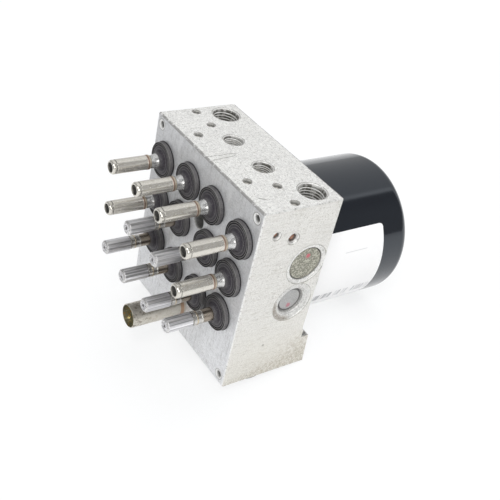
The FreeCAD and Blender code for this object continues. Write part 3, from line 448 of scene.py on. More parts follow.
def milledAluminium():
    look = {"side": (0.85, 0.847, 0.825), "front": (0.60, 0.605, 0.615), "pit": (0.20, 0.185, 0.165),
            "skin": (0.50, 0.48, 0.43), "streak": (0.46, 0.44, 0.39), "scratch": (0.36, 0.35, 0.33),
            "wiped": (0.80, 0.805, 0.81), "edge": (0.93, 0.93, 0.92), "frontEdgeShade": (0.25, 0.24, 0.23),
            "rim": (0.17, 0.16, 0.14), "groove": (0.075, 0.070, 0.058), "nickShade": (0.07, 0.065, 0.06),
            "warm": (0.80, 0.765, 0.67), "dirt": (0.50, 0.455, 0.37), "crust": (0.33, 0.28, 0.20),
            "oil": (0.30, 0.25, 0.19)}
    f = Finish("milled aluminium", {"Metallic": 0.4})
    y, z = f.y, f.z
    fromX, fromY, fromZ, front, onTop, onSide = blockPlaces(f)
    inside = f.step(fromX.least(fromY).least(fromZ), 0.15, 1.8)
    cloud, patch, grain = f.noise(0.055, 5, 0.6), f.noise(0.35, 5, 0.68), f.noise(1.5, 4, 0.7)
    grit = f.step(f.noise(1.15, 4, 0.85), 0.36, 0.64)

    # bare metal, with a smoother front; the front's darker tone is painted shade, and its lightening towards
    # its foot is painted light
    light = 0.69 - front * 0.09 + cloud * 0.14 + patch * (0.10 + front * 0.46)
    light = light + grit * (0.32 - front * 0.12 - onSide * 0.12)
    tone = f.shaded(f.blend(front, look["side"], look["front"]), light)
    tone = f.shaded(tone, 1 + front * (1 - f.step(z, 4, 75)) * 0.34)
    skin = f.step(f.noise(0.9, 5, 0.72, (0.8, 0.35, 1.3)), 0.545, 0.66) * (1 - front)
    streaks = f.step(f.noise(0.8, 4, 0.7, (1.0, 0.16, 2.0)), 0.53, 0.62) * onSide

    # pits and scratches
    flecks = f.step(f.noise(1.25, 6, 0.82), 0.585, 0.645)
    dots = (1 - f.step(f.cells(0.75), 0.10, 0.22)) * f.step(f.cellShade(0.75), 0.55, 0.60)
    specks = f.step(f.noise(2.1, 3, 0.7), 0.615, 0.645) * f.step(cloud, 0.40, 0.54)
    pits = mostOf([flecks, dots, specks]) * (1 - 0.6 * front)
    scratch = f.step(f.noise(0.5, 2, 0.4, (0.35, 4, 4)), 0.64, 0.67) * f.step(f.noise(0.09, 2), 0.45, 0.55)
    upright = f.step(f.noise(0.45, 3, 0.5, (4, 4, 0.30)), 0.56, 0.62) * f.step(f.noise(0.12, 2), 0.40, 0.52)
    wiped = f.step(f.noise(0.30, 4, 0.6, (1.0, 1.0, 0.22)), 0.50, 0.72) * front

    # openings
    rims, wall = openingMarks(f, onTop, onSide)
    across, level, apart = openings["frontScrews"]
    # round each front screw hole: a painted highlight ring standing in for a wider chamfer, edged by a
    # painted shade line
    screwHole = f.away(abs(f.x), abs(z - level), across, apart)
    bevel = (1 - f.step(screwHole, 2.55, 2.8)) * front * (0.55 + patch * 0.7)
    screwRingShadeLine = (1 - f.step(abs(screwHole - 2.8), 0.08, 0.32)) * front * patch * 1.2

    # rubbed and chipped edges; the rubbed edges' lighter tone is partly painted highlight
    ragged = 0.50 + grain * 1.0
    nearX, nearY, nearZ = (1 - f.step(inward, 0.2, ragged) for inward in (fromX, fromY, fromZ))
    rubbedEdgesAndHighlights = mostOf([nearX * nearY, nearX * nearZ * 0.3, nearY * nearZ * 0.5])
    chips = f.step(f.noise(0.8, 5, 0.8), 0.54, 0.60)
    chipped = mostOf([nearX * nearY, nearY * nearZ, nearX * nearZ]) * chips
    # a painted dark reflection along the front's top edge, where its chamfer would mirror dark
    frontEdgeShade = f.band(fromY + fromZ, 0.25, 0.95, 0.15) * f.step(z, 90, 100) * f.step(patch, 0.36, 0.5)

    # dirt, thicker towards the foot, and oil in the pump seat
    low = 1 - f.step(z + cloud * 30 - y * 0.5, 12, 38)
    grime = low * f.step(f.noise(0.45, 6, 0.78), 0.43, 0.60) * (1 - front * 0.8)
    crumbs = (1 - f.step(z - y * 0.3, 6, 20)) * f.step(f.noise(0.8, 6, 0.85), 0.58, 0.63) * (1 - front)
    crust = (1 - f.step(z - y * 0.22, 3.5, 8.5)) * f.step(f.noise(1.0, 5, 0.8), 0.48, 0.56) * (1 - front)
    warm = (1 - f.step(z, 4, 48)) * onSide
    seatY, seatZ = openings["pumpSeat"]
    mouth = f.away(y, z, seatY, seatZ)
    lower = f.step(0 - (y - seatY) * 0.75 - (z - seatZ) * 0.65, 4.5, 8.5)
    oil = f.band(mouth, 8.8, 11.2, 0.6) * lower * f.step(grain, 0.32, 0.55)

    tone = f.painted(tone, look, [
        (skin * 0.34, "skin"), (streaks * 0.36, "streak"), (pits * 0.76, "pit"),
        (scratch.most(upright * front * 0.7) * 0.45, "scratch"), (wiped * 0.40, "wiped"),
        (rims * f.step(patch, 0.34, 0.52) * 0.72, "rim"), (bevel, "edge"), (screwRingShadeLine, "rim"),
        (toolMarks(f, patch, grain, onTop, onSide) * 0.82, "pit"), (rubbedEdgesAndHighlights * 0.8, "edge"),
        (chipped * 0.62, "pit"), (frontEdgeShade * 0.70, "frontEdgeShade"), (onSide * 0.14 + warm * 0.30, "warm"),
        (grime * 0.55, "dirt"), (crumbs * 0.6, "pit"), (crust * 0.45, "crust"), (oil * 0.75, "oil")])

    # painted shade inside the openings and on the ports' dull thread grooves, and in the nick over the foot
    pumpWall = 1 - f.step(mouth, 7.6, 7.9)
    tone = f.shaded(tone, 1 - 0.55 * inside * (1 - wall) * (1 - pumpWall * 0.8))
    dull = f.step(f.noise(0.34, 3, 0.5, (1.0, 1.0, 0.2)), 0.44, 0.56)
    flaked = f.step(f.noise(1.1, 4, 0.8), 0.56, 0.60)
    # the nick over the foot is painted dark as shade
    nick = f.step(y, blockBack - 0.4, blockBack + 0.2) * f.band(z + grain, 18.9, 22.6, 0.3)
    tone = f.painted(tone, look, [(wall * (0.46 + dull * 0.46).most(flaked * 0.8), "groove"),
                                  (nick * f.step(abs(f.x), 42.5, 44.5) * 0.85, "nickShade")])

    milling = f.noise(2.2, 3, 0.6, (0.12, 1.6, 1.6))
    rough = 0.46 + grain * 0.12 + pits * 0.2 + grime * 0.2 - rubbedEdgesAndHighlights * 0.14 - front * 0.08 - inside * 0.12
    height = grain * 0.5 + milling * 0.3 + patch * 0.5 - pits * 0.9 - scratch * 0.4 - chipped * 0.8
    return f.close(tone, rough, None, height, 0.07)


def nickelStem():
    look = {"metal": (0.72, 0.695, 0.635), "neck": (0.66, 0.66, 0.65), "tint": (0.60, 0.51, 0.37),
            "weld": (0.27, 0.165, 0.115), "stain": (0.44, 0.39, 0.30), "hollow": (0.018, 0.017, 0.016),
            "tintAt": (9.2, 10), "weldAt": (10.1, 10.95), "grooveAt": (27.3, 27.85), "sleeveAt": (11.2, 27)}
    f = Finish("bright nickel stem")
    out, reach, shade = blockFace - f.y, f.mark("fromAxis"), f.mark("pieceShade")
    streak = f.noise(0.7, 3, 0.5, (1.3, 0.05, 1.3))
    spots = f.noise(1.5, 5, 0.7)
    tone = f.shaded(look["metal"], 0.90 + streak * 0.12 + shade * 0.06)
    clouded = f.band(out, *look["sleeveAt"], 0.5) * f.step(f.noise(0.5, 4, 0.7), 0.50, 0.70)
    # the ring groove and the tip's dish are painted near black as shade
    groove = f.band(out, *look["grooveAt"], 0.08) * f.step(reach, 2.6, 3.0)
    dish = (1 - f.step(reach, 2.35, 2.65)) * f.step(out, 28, 28.5)
    tone = f.painted(tone, look, [
        (1 - f.step(out, 8.9, 9.3), "neck"), (f.band(out, *look["tintAt"], 0.15) * 0.85, "tint"),
        (f.band(out, *look["weldAt"], 0.12) * (0.7 + spots * 0.4), "weld"),
        (f.step(spots, 0.60, 0.72) * 0.25, "stain"), (clouded * 0.35, "stain"), (groove * 0.45, "hollow"),
        (dish * (0.78 + spots * 0.3).least(1), "hollow")])
    rough = 0.19 + streak * 0.05 + f.band(out, 9.2, 11.0, 0.2) * 0.2 + f.step(spots, 0.55, 0.7) * 0.10
    neck = 1 - f.step(out, 8.7, 9.1)
    return f.close(tone, rough + dish * 0.25 + neck * 0.03, 0.76, streak * 0.15 + spots * 0.10, 0.006)


def darkCoreStem():
    look = {"core": (0.72, 0.715, 0.73), "band": (0.82, 0.80, 0.76), "gold": (0.60, 0.50, 0.35),
            "tube": (0.56, 0.485, 0.40), "pit": (0.10, 0.095, 0.09), "ring": (0.80, 0.78, 0.72),
            "end": (0.90, 0.89, 0.87), "goldAt": (13.1, 13.9), "ringAt": (10.4, 11.2), "seamAt": (15.6, 16.2)}
    f = Finish("dark core stem", {"Metallic": 0.92})
    out, reach, shade = blockFace - f.y, f.mark("fromAxis"), f.mark("pieceShade")
    streak = f.noise(0.75, 2, 0.6, (1.8, 0.012, 1.8))
    spots = f.noise(2.2, 5, 0.78)
    core = f.step(out, 16.1, 16.4)
    tone = f.blend(core, look["band"], look["core"])
    tone = f.blend(1 - f.step(out, 10.3, 10.5), tone, look["tube"])
    tone = f.shaded(tone, 0.58 + f.step(streak, 0.38, 0.62) * (0.16 + core * 0.50) + shade * 0.08)
    face = f.step(out, 29.0, 29.25)
    # on the end face: a painted highlight on the outer ring and chamfer, and painted shade in the centre
    # dimple
    tone = f.painted(tone, look, [
        (f.band(out, *look["goldAt"], 0.12) * 0.8, "gold"),
        (f.band(out, *look["ringAt"], 0.12) * 0.6, "ring"),
        (f.band(out, *look["seamAt"], 0.10) * 0.6, "pit"), (face * f.step(reach, 2.2, 2.7) * 0.6, "end"),
        (face * f.step(spots, 0.50, 0.58) * 0.7, "pit"), (face * (1 - f.step(reach, 0.5, 1)) * 0.85, "pit"),
        (core * f.step(spots, 0.62, 0.68) * 0.40, "pit")])
    rough = 0.20 + core * 0.08 + streak * 0.08 + face * spots * 0.3
    return f.close(tone, rough, None, streak * 0.3 + face * spots * 2.0, 0.02)


def blackRubber():
    look = {"rubber": (0.036, 0.032, 0.040), "dust": (0.24, 0.234, 0.228), "groove": (0.004, 0.004, 0.005),
            "ridgeHighlights": ((7.97, 8.25, 0.06, 1), (8.84, 9.02, 0.05, 0.8),      # from, to, softness, strength
                       (6.95, 7.25, 0.08, 0.7), (5.6, 6.0, 0.2, 0.3)),
            "grooves": ((8.28, 8.80, 0.06, 1), (7.42, 7.92, 0.10, 0.75))}
    f = Finish("black rubber", {"Specular IOR Level": 0.2})
    reach, out = f.mark("fromAxis"), f.mark("alongAxis")
    grain, patch = f.noise(2.2, 4, 0.7), f.noise(0.55, 5, 0.7)
    # the ridge lines are painted highlights
    ridgeHighlights, grooves = (
        mostOf([f.band(reach, low, high, soft) * strength for low, high, soft, strength in look[kind]])
        for kind in ("ridgeHighlights", "grooves"))
    tone = f.shaded(look["rubber"], 0.7 + patch * 0.6)
    face = f.step(out, 2.0, 2.2)
    wall = f.step(reach, 8.93, 9.02) * f.band(out, 0.5, 2.3, 0.15)
    hub = 1 - f.step(reach, 3.9, 5.0)
    # on the hub the dust colour is a painted highlight; on the wall it is dust
    dust = wall * (0.08 + patch * 0.60) + hub * (0.10 + patch * 0.25) + f.step(grain, 0.50, 0.66) * 0.30
    # the groove colour is painted shade, in the grooves and round the seal's foot against the block
    tone = f.painted(tone, look, [
        ((dust + ridgeHighlights * face * (0.60 + patch * 0.5)).least(0.95), "dust"),
        (grooves * f.step(out, 0.5, 1.0) * 0.97, "groove"), ((1 - f.step(out, 0.30, 0.5)) * 0.9, "groove")])
    return f.close(tone, 0.34 + grain * 0.2, None, grain + patch * 0.6, 0.05)


def sensorSteel():
    look = {"metal": (0.66, 0.63, 0.565), "stain": (0.42, 0.36, 0.27), "burnt": (0.46, 0.30, 0.20),
            "patina": (0.085, 0.075, 0.06), "gold": (0.78, 0.48, 0.20), "dark": (0.46, 0.48, 0.42),
            "glint": (0.95, 0.94, 0.90), "burntAt": (1.0, 3.0)}
    f = Finish("sensor steel", {"Metallic": 1.0})
    out = blockFace - f.y
    reach = f.away(f.x, f.z, 0, sensorAxis)
    streak = f.noise(0.9, 4, 0.6, (1.4, 0.08, 1.4))
    spots = f.noise(0.55, 6, 0.78)
    tone = f.shaded(look["metal"], 0.80 + streak * 0.3)
    tone = f.painted(tone, look, [
        (f.step(spots, 0.48, 0.62) * 0.45, "stain"), (f.band(out, *look["burntAt"], 0.2) * 0.9, "burnt"),
        (f.step(spots, 0.53, 0.60) * f.step(out, 17.0, 28.0) * 0.65, "patina")])
    hollow = 1 - f.step(reach, 5.70, 5.85)
    lining = f.blend(f.step(f.noise(0.55, 5, 0.75), 0.50, 0.60) * 0.75, look["dark"], look["gold"])
    lining = f.blend(f.step(f.noise(0.8, 5, 0.8, (1, 0.3, 1)), 0.56, 0.62) * 0.8, lining, look["glint"])
    tone = f.blend(hollow * f.step(out, 12, 14), tone, lining)
    return f.close(tone, 0.22 + streak * 0.14 + spots * 0.15, None, streak * 0.5 + spots * 0.5, 0.03)


def plainFinish(name, colour, metallic, roughness, grainSize=0.8, spread=0.2, depth=0.03, second=None):
    f = Finish(name, {"Metallic": metallic})
    grain = f.noise(grainSize, 4, 0.65)
    tone = f.shaded(colour, 1 - spread / 2 + grain * spread)
    if second:
        tone = f.blend(f.step(f.noise(grainSize * 0.4, 4, 0.6), 0.50, 0.66) * 0.6, tone, second)
    return f.close(tone, roughness - 0.05 + grain * 0.12, None, grain, depth)


damperLook = {"base": (0.36, 0.355, 0.295), "light": (0.56, 0.55, 0.46), "dark": (0.13, 0.13, 0.10),
              "paint": (0.62, 0.10, 0.15), "outline": (0.06, 0.055, 0.045), "dot": (10.8, 72.9, 1.2),
              "edge": (8.65, 9.3), "grain": 1.35, "depth": 0.2}
pumpLook = {"base": (0.43, 0.43, 0.425), "light": (0.52, 0.52, 0.515), "dark": (0.34, 0.34, 0.335),
            "paint": (0.50, 0.16, 0.21), "outline": (0.06, 0.056, 0.052), "dot": (8.6, 42.4, 1.3),
            "edge": (5.85, 6.75), "grain": 2.2, "depth": 0.04}


def pressedDisc(name, look):
    f = Finish(name, {"Metallic": 0.35})
    reach = f.mark("fromAxis")
    grain = f.cells(look["grain"], "SMOOTH_F1")
    cloud = f.noise(0.35, 4, 0.6)
    tone = f.blend(f.step(grain, 0.22, 0.72), look["dark"], look["light"])
    dotY, dotZ, radius = look["dot"]
    away = f.away(f.y, f.z, dotY, dotZ)
    dot = 1 - f.step(away + (f.noise(0.9, 4, 0.7) - 0.5) * 1.8, radius - 0.4, radius + 0.4)
    # the outline band is painted shade round the disc, inside the rim of its recess
    tone = f.painted(tone, look, [
        (0.10 + cloud * 0.4, "base"), (dot * 0.80 * f.step(f.x, 0, 0.1), "paint"),      # right side alone
        (f.band(reach, *look["edge"], 0.12) * 0.85, "outline")])
    return f.close(tone, 0.50 - grain * 0.1, None, grain + cloud * 0.3, look["depth"])


def glossBlack():
    look = {"paint": (0.0050, 0.0060, 0.0095), "dust": (0.22, 0.22, 0.23)}
    f = Finish("gloss black paint", {"Metallic": 0.0, "Coat Roughness": 0.03, "Coat Weight": 0.3,
                                     "Specular IOR Level": 0.7, "Specular Tint": (0.78, 0.89, 1.0, 1.0)})
    dust = f.step(f.noise(1.4, 5, 0.8), 0.64, 0.74)
    peel = f.noise(0.30, 2, 0.4)
    smear = f.noise(0.06, 4, 0.6)
    tone = f.blend(dust * 0.06, look["paint"], look["dust"])
    return f.close(tone, 0.09 + smear * 0.06 + dust * 0.12, None, peel, 0.010)


def printedPaper():
    look = {"paper": (0.90, 0.90, 0.90), "ink": (0.36, 0.36, 0.38), "scuff": (0.70, 0.69, 0.67),
            "bars": (-25.5, -17.5, 33.0, 72.0), "rule": (19.3, 19.8, 47.0, 62.0), "barWidth": 0.48}
    f = Finish("printed paper label", {"Specular IOR Level": 0.3})
    angle = f.angleAbout(motorAxis)
    low, high, start, end = look["bars"]      # degrees round the can, then mm along it
    strip = f.band(angle, low, high, 0.25) * f.band(f.y, start, end, 0.1)
    place = f.y.math("FLOOR", f.y / look["barWidth"])
    cell = f.add("ShaderNodeTexWhiteNoise", {"noise_dimensions": "1D"}, {"W": place}, "Value")
    bars = strip * f.step(cell, 0.46, 0.50)
    low, high, start, end = look["rule"]
    rule = f.band(angle, low, high, 0.12) * f.band(f.y, start, end, 0.2)
    fibre = f.noise(1.6, 4, 0.6)
    scuff = f.step(f.noise(0.25, 5, 0.7), 0.60, 0.72) * 0.10
    tone = f.painted(f.shaded(look["paper"], 0.98 + fibre * 0.04), look,
                     [(scuff, "scuff"), (bars.most(rule * 0.6) * 0.8, "ink")])
    return f.close(tone, 0.45 + fibre * 0.1, None, fibre, 0.01)


print("finishes")
blockFinish = milledAluminium()
stemFinish = nickelStem()
coreFinish = darkCoreStem()
rubberFinish = blackRubber()
sensorFinish = sensorSteel()
damperFinish = pressedDisc("pressed damper disc", damperLook)
pumpFinish = pressedDisc("pressed pump disc", pumpLook)
ballFinish = plainFinish("plug ball steel", (0.62, 0.60, 0.55), 0.7, 0.40, 1.3, 0.4, 0.05, (0.28, 0.25, 0.20))
copperBall = plainFinish("copper ball", (0.36, 0.20, 0.14), 0.7, 0.45, 1.6, 0.5, 0.05, (0.13, 0.075, 0.05))
# the cap colour is darkened as painted shade under the block
capFinish = plainFinish("drawn cap aluminium", (0.42, 0.415, 0.40), 0.7, 0.40, 0.7, 0.3, 0.04,
                        (0.20, 0.185, 0.16))
threadFinish = plainFinish("cut thread", (1.0, 0.995, 0.975), 0.25, 0.20, 1.6, 0.24, 0.03, (0.74, 0.70, 0.61))
canFinish = glossBlack()
paperFinish = printedPaper()
boardFinish = plainFinish("circuit board", (0.42, 0.38, 0.24), 0.0, 0.45, 0.8, 0.3, 0.03, (0.12, 0.22, 0.12))
goldFinish = plainFinish("gold contact", (0.83, 0.63, 0.26), 1.0, 0.22, 1.5, 0.15, 0.01)
screwFinish = plainFinish("screw steel", (0.38, 0.38, 0.39), 1.0, 0.34, 1.2, 0.25, 0.02, (0.22, 0.20, 0.18))


# hydraulic block

block = finishedCopy("hydraulic_block", "blockShell", blockFinish)
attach(block, "unit")
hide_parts("hydraulic_block")

ports = {"wheel": {"spread": 12.7, "y": 0.0, "bore": 4.5, "top": 101.7, "pitch": 1.0},
         "supply": {"spread": 36.9, "y": 11.0, "bore": 6.2, "top": 101.6, "pitch": 1.5}}
thread = {"ridge": 0.33, "inset": 0.08, "depth": 13.0}
for kind, port in ports.items():
    seats = [(side * port["spread"], port["y"], port["top"]) for side in (-1, 1)]
    turns = (port["top"] - blockTop + thread["depth"]) / port["pitch"]
    piece = grown(kind + "PortThread", portThread, seats, {
        "Bore Radius": (port["bore"] + thread["inset"]) * mm, "Pitch": port["pitch"] * mm, "Turns": turns,
        "Ridge": thread["ridge"] * mm, "Finish": threadFinish}, 50)
    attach(piece, "unit")
print("block and ports")


# valve stems and their seals

inletSeats = [(-35.2, 82.3), (35.2, 82.3), (-10.9, 84.7), (10.9, 84.7), (-33.8, 59.5), (33.8, 59.5)]
outletSeats = [(-13.0, 61.7), (13.0, 61.7), (-31.7, 37.0), (31.7, 37.0), (-11.7, 33.3), (11.7, 33.3)]

inletStem = {"length": 29.85, "radius": 3.6, "neck": 3.3, "flare": 4.3, "flareEnd": 2.3, "neckStart": 3.4,
             "collar": ((5.0, 0), (5.05, 0.5), (5.6, 0.33), (6.4, 0.15), (7.4, 0)),      # height, rise
             "ring": (9.2, 11.0), "ringRise": 0.1, "groove": 27.3, "grooveDepth": 0.22, "domeStart": 28.5,
             "dishRadius": 2.5, "dishFloor": 1.6, "dishDepth": 1.2, "lip": 0.25}
outletStem = {"length": 29.85, "core": 3.6, "band": 3.45, "tube": 3.3, "flare": 4.3, "flareEnd": 2.3,
              "neckStart": 3.4, "firstRing": (10.4, 11.2), "secondRing": (13.1, 13.9), "coreStart": 16.3,
              "chamfer": 0.75, "dimple": 0.9, "dimpleDepth": 0.6}
seal = {"foot": 4.2, "base": 9.4, "rim": 9.0, "rimHeight": 2.5, "flat": 8.85, "bell": 7.05, "bellCurve": 2.6,
        "hub": 3.9, "hubHeight": 5.0, "lip": 3.35, "lipEnd": 3.4, "grooves": 2, "grooveWidth": 0.65,
        "grooveDepth": 0.6}


def inletProfile(s):
    low, high = s["ring"]
    radius, rise, groove = s["radius"], s["radius"] + s["ringRise"], s["groove"]
    body = [(s["flare"], 0), (s["flare"], s["flareEnd"]), (s["neck"], s["neckStart"])]
    body += [(s["neck"] + up, height) for height, up in s["collar"]]
    body += [(s["neck"], low - 0.25), (radius, low), (rise, low + 0.2), (rise, high - 0.2), (radius, high),
             (radius, groove), (radius - s["grooveDepth"], groove + 0.18),
             (radius - s["grooveDepth"], groove + 0.38), (radius, groove + 0.56),
             (radius, s["domeStart"] - 0.02)]
    shoulder = s["dishRadius"] + s["lip"]
    dome = quarter(shoulder, s["domeStart"], radius - shoulder, s["length"] - s["domeStart"], 8)
    flat, edge = s["dishFloor"], s["length"] - 0.05
    dish = quarter(flat, edge, s["dishRadius"] - flat, 0.05 - s["dishDepth"], 5)
    return softened(body, 0.14) + dome + dish + [(0, s["length"] - s["dishDepth"])]


def outletProfile(s):
    body = [(s["flare"], 0), (s["flare"], s["flareEnd"]), (s["tube"], s["neckStart"])]
    rings = [(s["firstRing"], s["tube"], s["tube"] + 0.15, s["band"] - 0.05),
             (s["secondRing"], s["band"] - 0.05, s["band"] + 0.08, s["band"])]
    for (low, high), before, rise, after in rings:
        body += [(before, low), (rise, low + 0.1), (rise, high - 0.1), (after, high)]
    body += [(s["band"], s["coreStart"] - 0.45), (s["band"] - 0.12, s["coreStart"] - 0.2),
             (s["core"], s["coreStart"] + 0.1), (s["core"], s["length"] - s["chamfer"]),
             (s["core"] - s["chamfer"], s["length"]), (s["dimple"], s["length"]),
             (0, s["length"] - s["dimpleDepth"])]
    return softened(body, 0.12)


def sealProfile(s):
    top = s["rimHeight"]
    outline = [(s["foot"], 0), (s["base"], 0), (s["base"] - 0.05, 0.35), (s["rim"] + 0.1, 0.5),
               (s["rim"], top), (s["flat"], top)]
    pitch = (s["flat"] - s["bell"]) / s["grooves"]
    for index in range(s["grooves"]):
        start = s["flat"] - index * pitch
        outline += [(start - s["grooveWidth"] / 2, top - s["grooveDepth"]), (start - s["grooveWidth"], top)]
        if index < s["grooves"] - 1:
            outline += [(start - pitch, top)]
    bell = [(s["bell"] - (s["bell"] - s["hub"]) * share,
             top + (s["hubHeight"] - top) * share ** s["bellCurve"])
            for share in (index / 8 for index in range(8))]
    mouth = [(s["hub"], s["hubHeight"]), (s["lip"], s["hubHeight"]), (s["lip"], s["lipEnd"])]
    return softened(outline, 0.2) + bell + softened(mouth, 0.15)


def onSeats(name, profile, seats, seed, material, nodes, around=64):
    source = bpy.data.objects.new(name + "Source", lathe(name + "Source", profile, around))
    bpy.context.scene.collection.objects.link(source)
    places = [(x, blockFace, z) for x, z in seats]
    piece = grown(name, piecesOnSeats, places, {"Piece": source, "Turn Seed": seed, "Finish": material})
    bpy.data.objects.remove(source)
    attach(piece, "unit")
    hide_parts(*nodes)
    return piece


onSeats("inletStems", inletProfile(inletStem), inletSeats, 4, stemFinish,
        ["inlet_valve_sleeve_%d" % n for n in range(1, 7)])
onSeats("outletStems", outletProfile(outletStem), outletSeats, 9, coreFinish,
        ["outlet_valve_sleeve_%d" % n for n in range(1, 7)])
onSeats("stemSeals", sealProfile(seal), inletSeats + outletSeats, 2, rubberFinish,
        ["top_row_seals", "middle_row_seals", "bottom_row_seals"], 72)
print("stems and seals")


# pressure sensor

sensor = finishedCopy("pressure_sensor_sleeve", "sensorTube", sensorFinish)
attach(sensor, "unit")
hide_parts("pressure_sensor_sleeve")


# plugs, balls and caps

def bothSides(name, mesh, material, nodes):
    piece = pieceFrom(joined(name, [mesh, mirroredMesh(mesh)]), name, material)
    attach(piece, "unit")
    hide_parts(*nodes)
    return piece


damperPlug = {"x": 46.1, "y": 10.5, "z": 68.5, "radius": 9.2, "length": 4.0, "ease": 0.3,
              "edge": ((0.5, 0), (0, 0.5))}      # inset from the radius, depth
pumpPlug = {"x": 44.7, "y": 8.4, "z": 45.9, "radius": 7.4, "length": 6.7, "ease": 0.2,
            "edge": ((0.8, 0), (0.7, 0.4), (0, 0.45))}
accumulatorCap = {"x": 32.0, "y": -2.9, "radius": 14.0, "height": 3.0, "round": 1.6, "skirt": 12.3,
                  "inside": 3.5}


def plugMesh(name, s):
    edge = [(s["radius"] - inset, depth) for inset, depth in s["edge"]]
    profile = softened([(0, 0)] + edge + [(s["radius"], s["length"]), (0, s["length"])], s["ease"])
    return lathe(name, profile, 96, (s["x"], s["y"], s["z"]), (-1, 0, 0))


def capMesh(s):
    edge = quarter(s["radius"] - s["round"], s["round"] - s["height"], s["round"], -s["round"], 8)[::-1]
    profile = [(0, -s["height"])] + edge + [(s["radius"], 0), (s["skirt"], 0), (s["skirt"], s["inside"]),
                                            (0, s["inside"])]
    return lathe("capDisc", profile, 96, (s["x"], s["y"], 0), (0, 0, 1))


bothSides("damperPlugs", plugMesh("damperDisc", damperPlug), damperFinish,
          ["damper_plug_right", "damper_plug_left"])
bothSides("pumpPlugs", plugMesh("pumpDisc", pumpPlug), pumpFinish,
          ["pump_plug_right", "pump_plug_left"])
bothSides("accumulatorCaps", capMesh(accumulatorCap), capFinish,
          ["accumulator_cap_right", "accumulator_cap_left"])

for node, name, material, slot in (("top_sealing_balls", "topBalls", ballFinish, "bright_steel"),
                                   ("side_sealing_balls", "sideBalls", copperBall, "copper_ball")):
    balls = finishedCopy(node, name, material)
    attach(balls, "unit")
    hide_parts(node)
print("plugs and caps")


# motor

can = {"radius": 38.85, "length": 70.6, "endRound": 6.0, "flange": 41.0, "flangeThick": 2.2, "wall": 1.8,
       "fillet": 0.6, "boss": 10.5, "bossHeight": 3.0, "bossRound": 2.0, "bossBore": 8.0,
       "lugAngles": (45, 225), "lugCircle": 46.5, "lugRadius": 5.6, "lugRoot": (0.5, 1.6), "lugBevel": 0.3}
label = {"start": 8.0, "end": 51.0, "top": 36.5, "bottom": -78.0, "thick": 0.12, "gap": 0.01, "corner": 2.0,
         "rows": 120, "columns": 44}


def canProfile(c):
    foot, end, top = c["flangeThick"], c["length"], c["length"] + c["bossHeight"]
    outline = [(c["radius"] - c["wall"], 0), (c["flange"], 0), (c["flange"], foot),
               (c["radius"] + c["fillet"], foot), (c["radius"], foot + c["fillet"])]
    outline = softened(outline + [(c["radius"], 20)], 0.35)[:-1]
    middle, start, inner = c["radius"] - c["endRound"], end - c["endRound"], c["endRound"] - c["wall"]
    outline += quarter(middle, start, c["endRound"], c["endRound"], 16)
    outline += [(c["boss"] + 0.8, end), (c["boss"] + 0.25, end + 0.2), (c["boss"], end + 0.8)]
    outline += quarter(c["boss"] - c["bossRound"], top - c["bossRound"], c["bossRound"], c["bossRound"], 8)
    outline += [(0, top), (0, top - c["wall"]), (c["bossBore"], top - c["wall"]),
                (c["bossBore"], end - c["wall"])]
    return outline + quarter(middle, start, inner, inner, 8)[::-1]


def lugMesh(c, angle):
    sunk, spread = c["lugRoot"]
    outline = [(c["radius"] - sunk, -c["lugRadius"] - spread)]
    for index in range(25):
        turn = -math.pi / 2 + math.pi * index / 24
        outline.append((c["lugCircle"] + c["lugRadius"] * math.cos(turn), c["lugRadius"] * math.sin(turn)))
    outline.append((c["radius"] - sunk, c["lugRadius"] + spread))
    turn = math.radians(angle)
    shape = bmesh.new()
    rows = []
    for back in (0, c["flangeThick"]):
        rows.append([shape.verts.new(Vector((x * math.cos(turn) - z * math.sin(turn), blockBack + back,
                                             motorAxis + x * math.sin(turn) + z * math.cos(turn))) * mm)
                     for x, z in outline])
    for row in rows:
        shape.faces.new(row)
    for index in range(len(outline)):
        after = (index + 1) % len(outline)
        shape.faces.new((rows[0][index], rows[0][after], rows[1][after], rows[1][index]))
    bmesh.ops.recalc_face_normals(shape, faces=shape.faces)
    rim = [edge for edge in shape.edges if abs(edge.verts[0].co.y - edge.verts[1].co.y) < 1e-7]
    bmesh.ops.bevel(shape, geom=rim, offset=c["lugBevel"] * mm, segments=2, affect="EDGES")
    mesh = bpy.data.meshes.new("lug")
    shape.to_mesh(mesh)
    shape.free()
    return mesh


drum = lathe("canDrum", canProfile(can), 192, (0, blockBack, motorAxis), (0, 1, 0), closed=True)
lugs = [lugMesh(can, angle) for angle in can["lugAngles"]]
motorCan = pieceFrom(joined("motorCan", [drum] + lugs), "motorCan", canFinish, 28)
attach(motorCan, "unit")
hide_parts("motor_can")


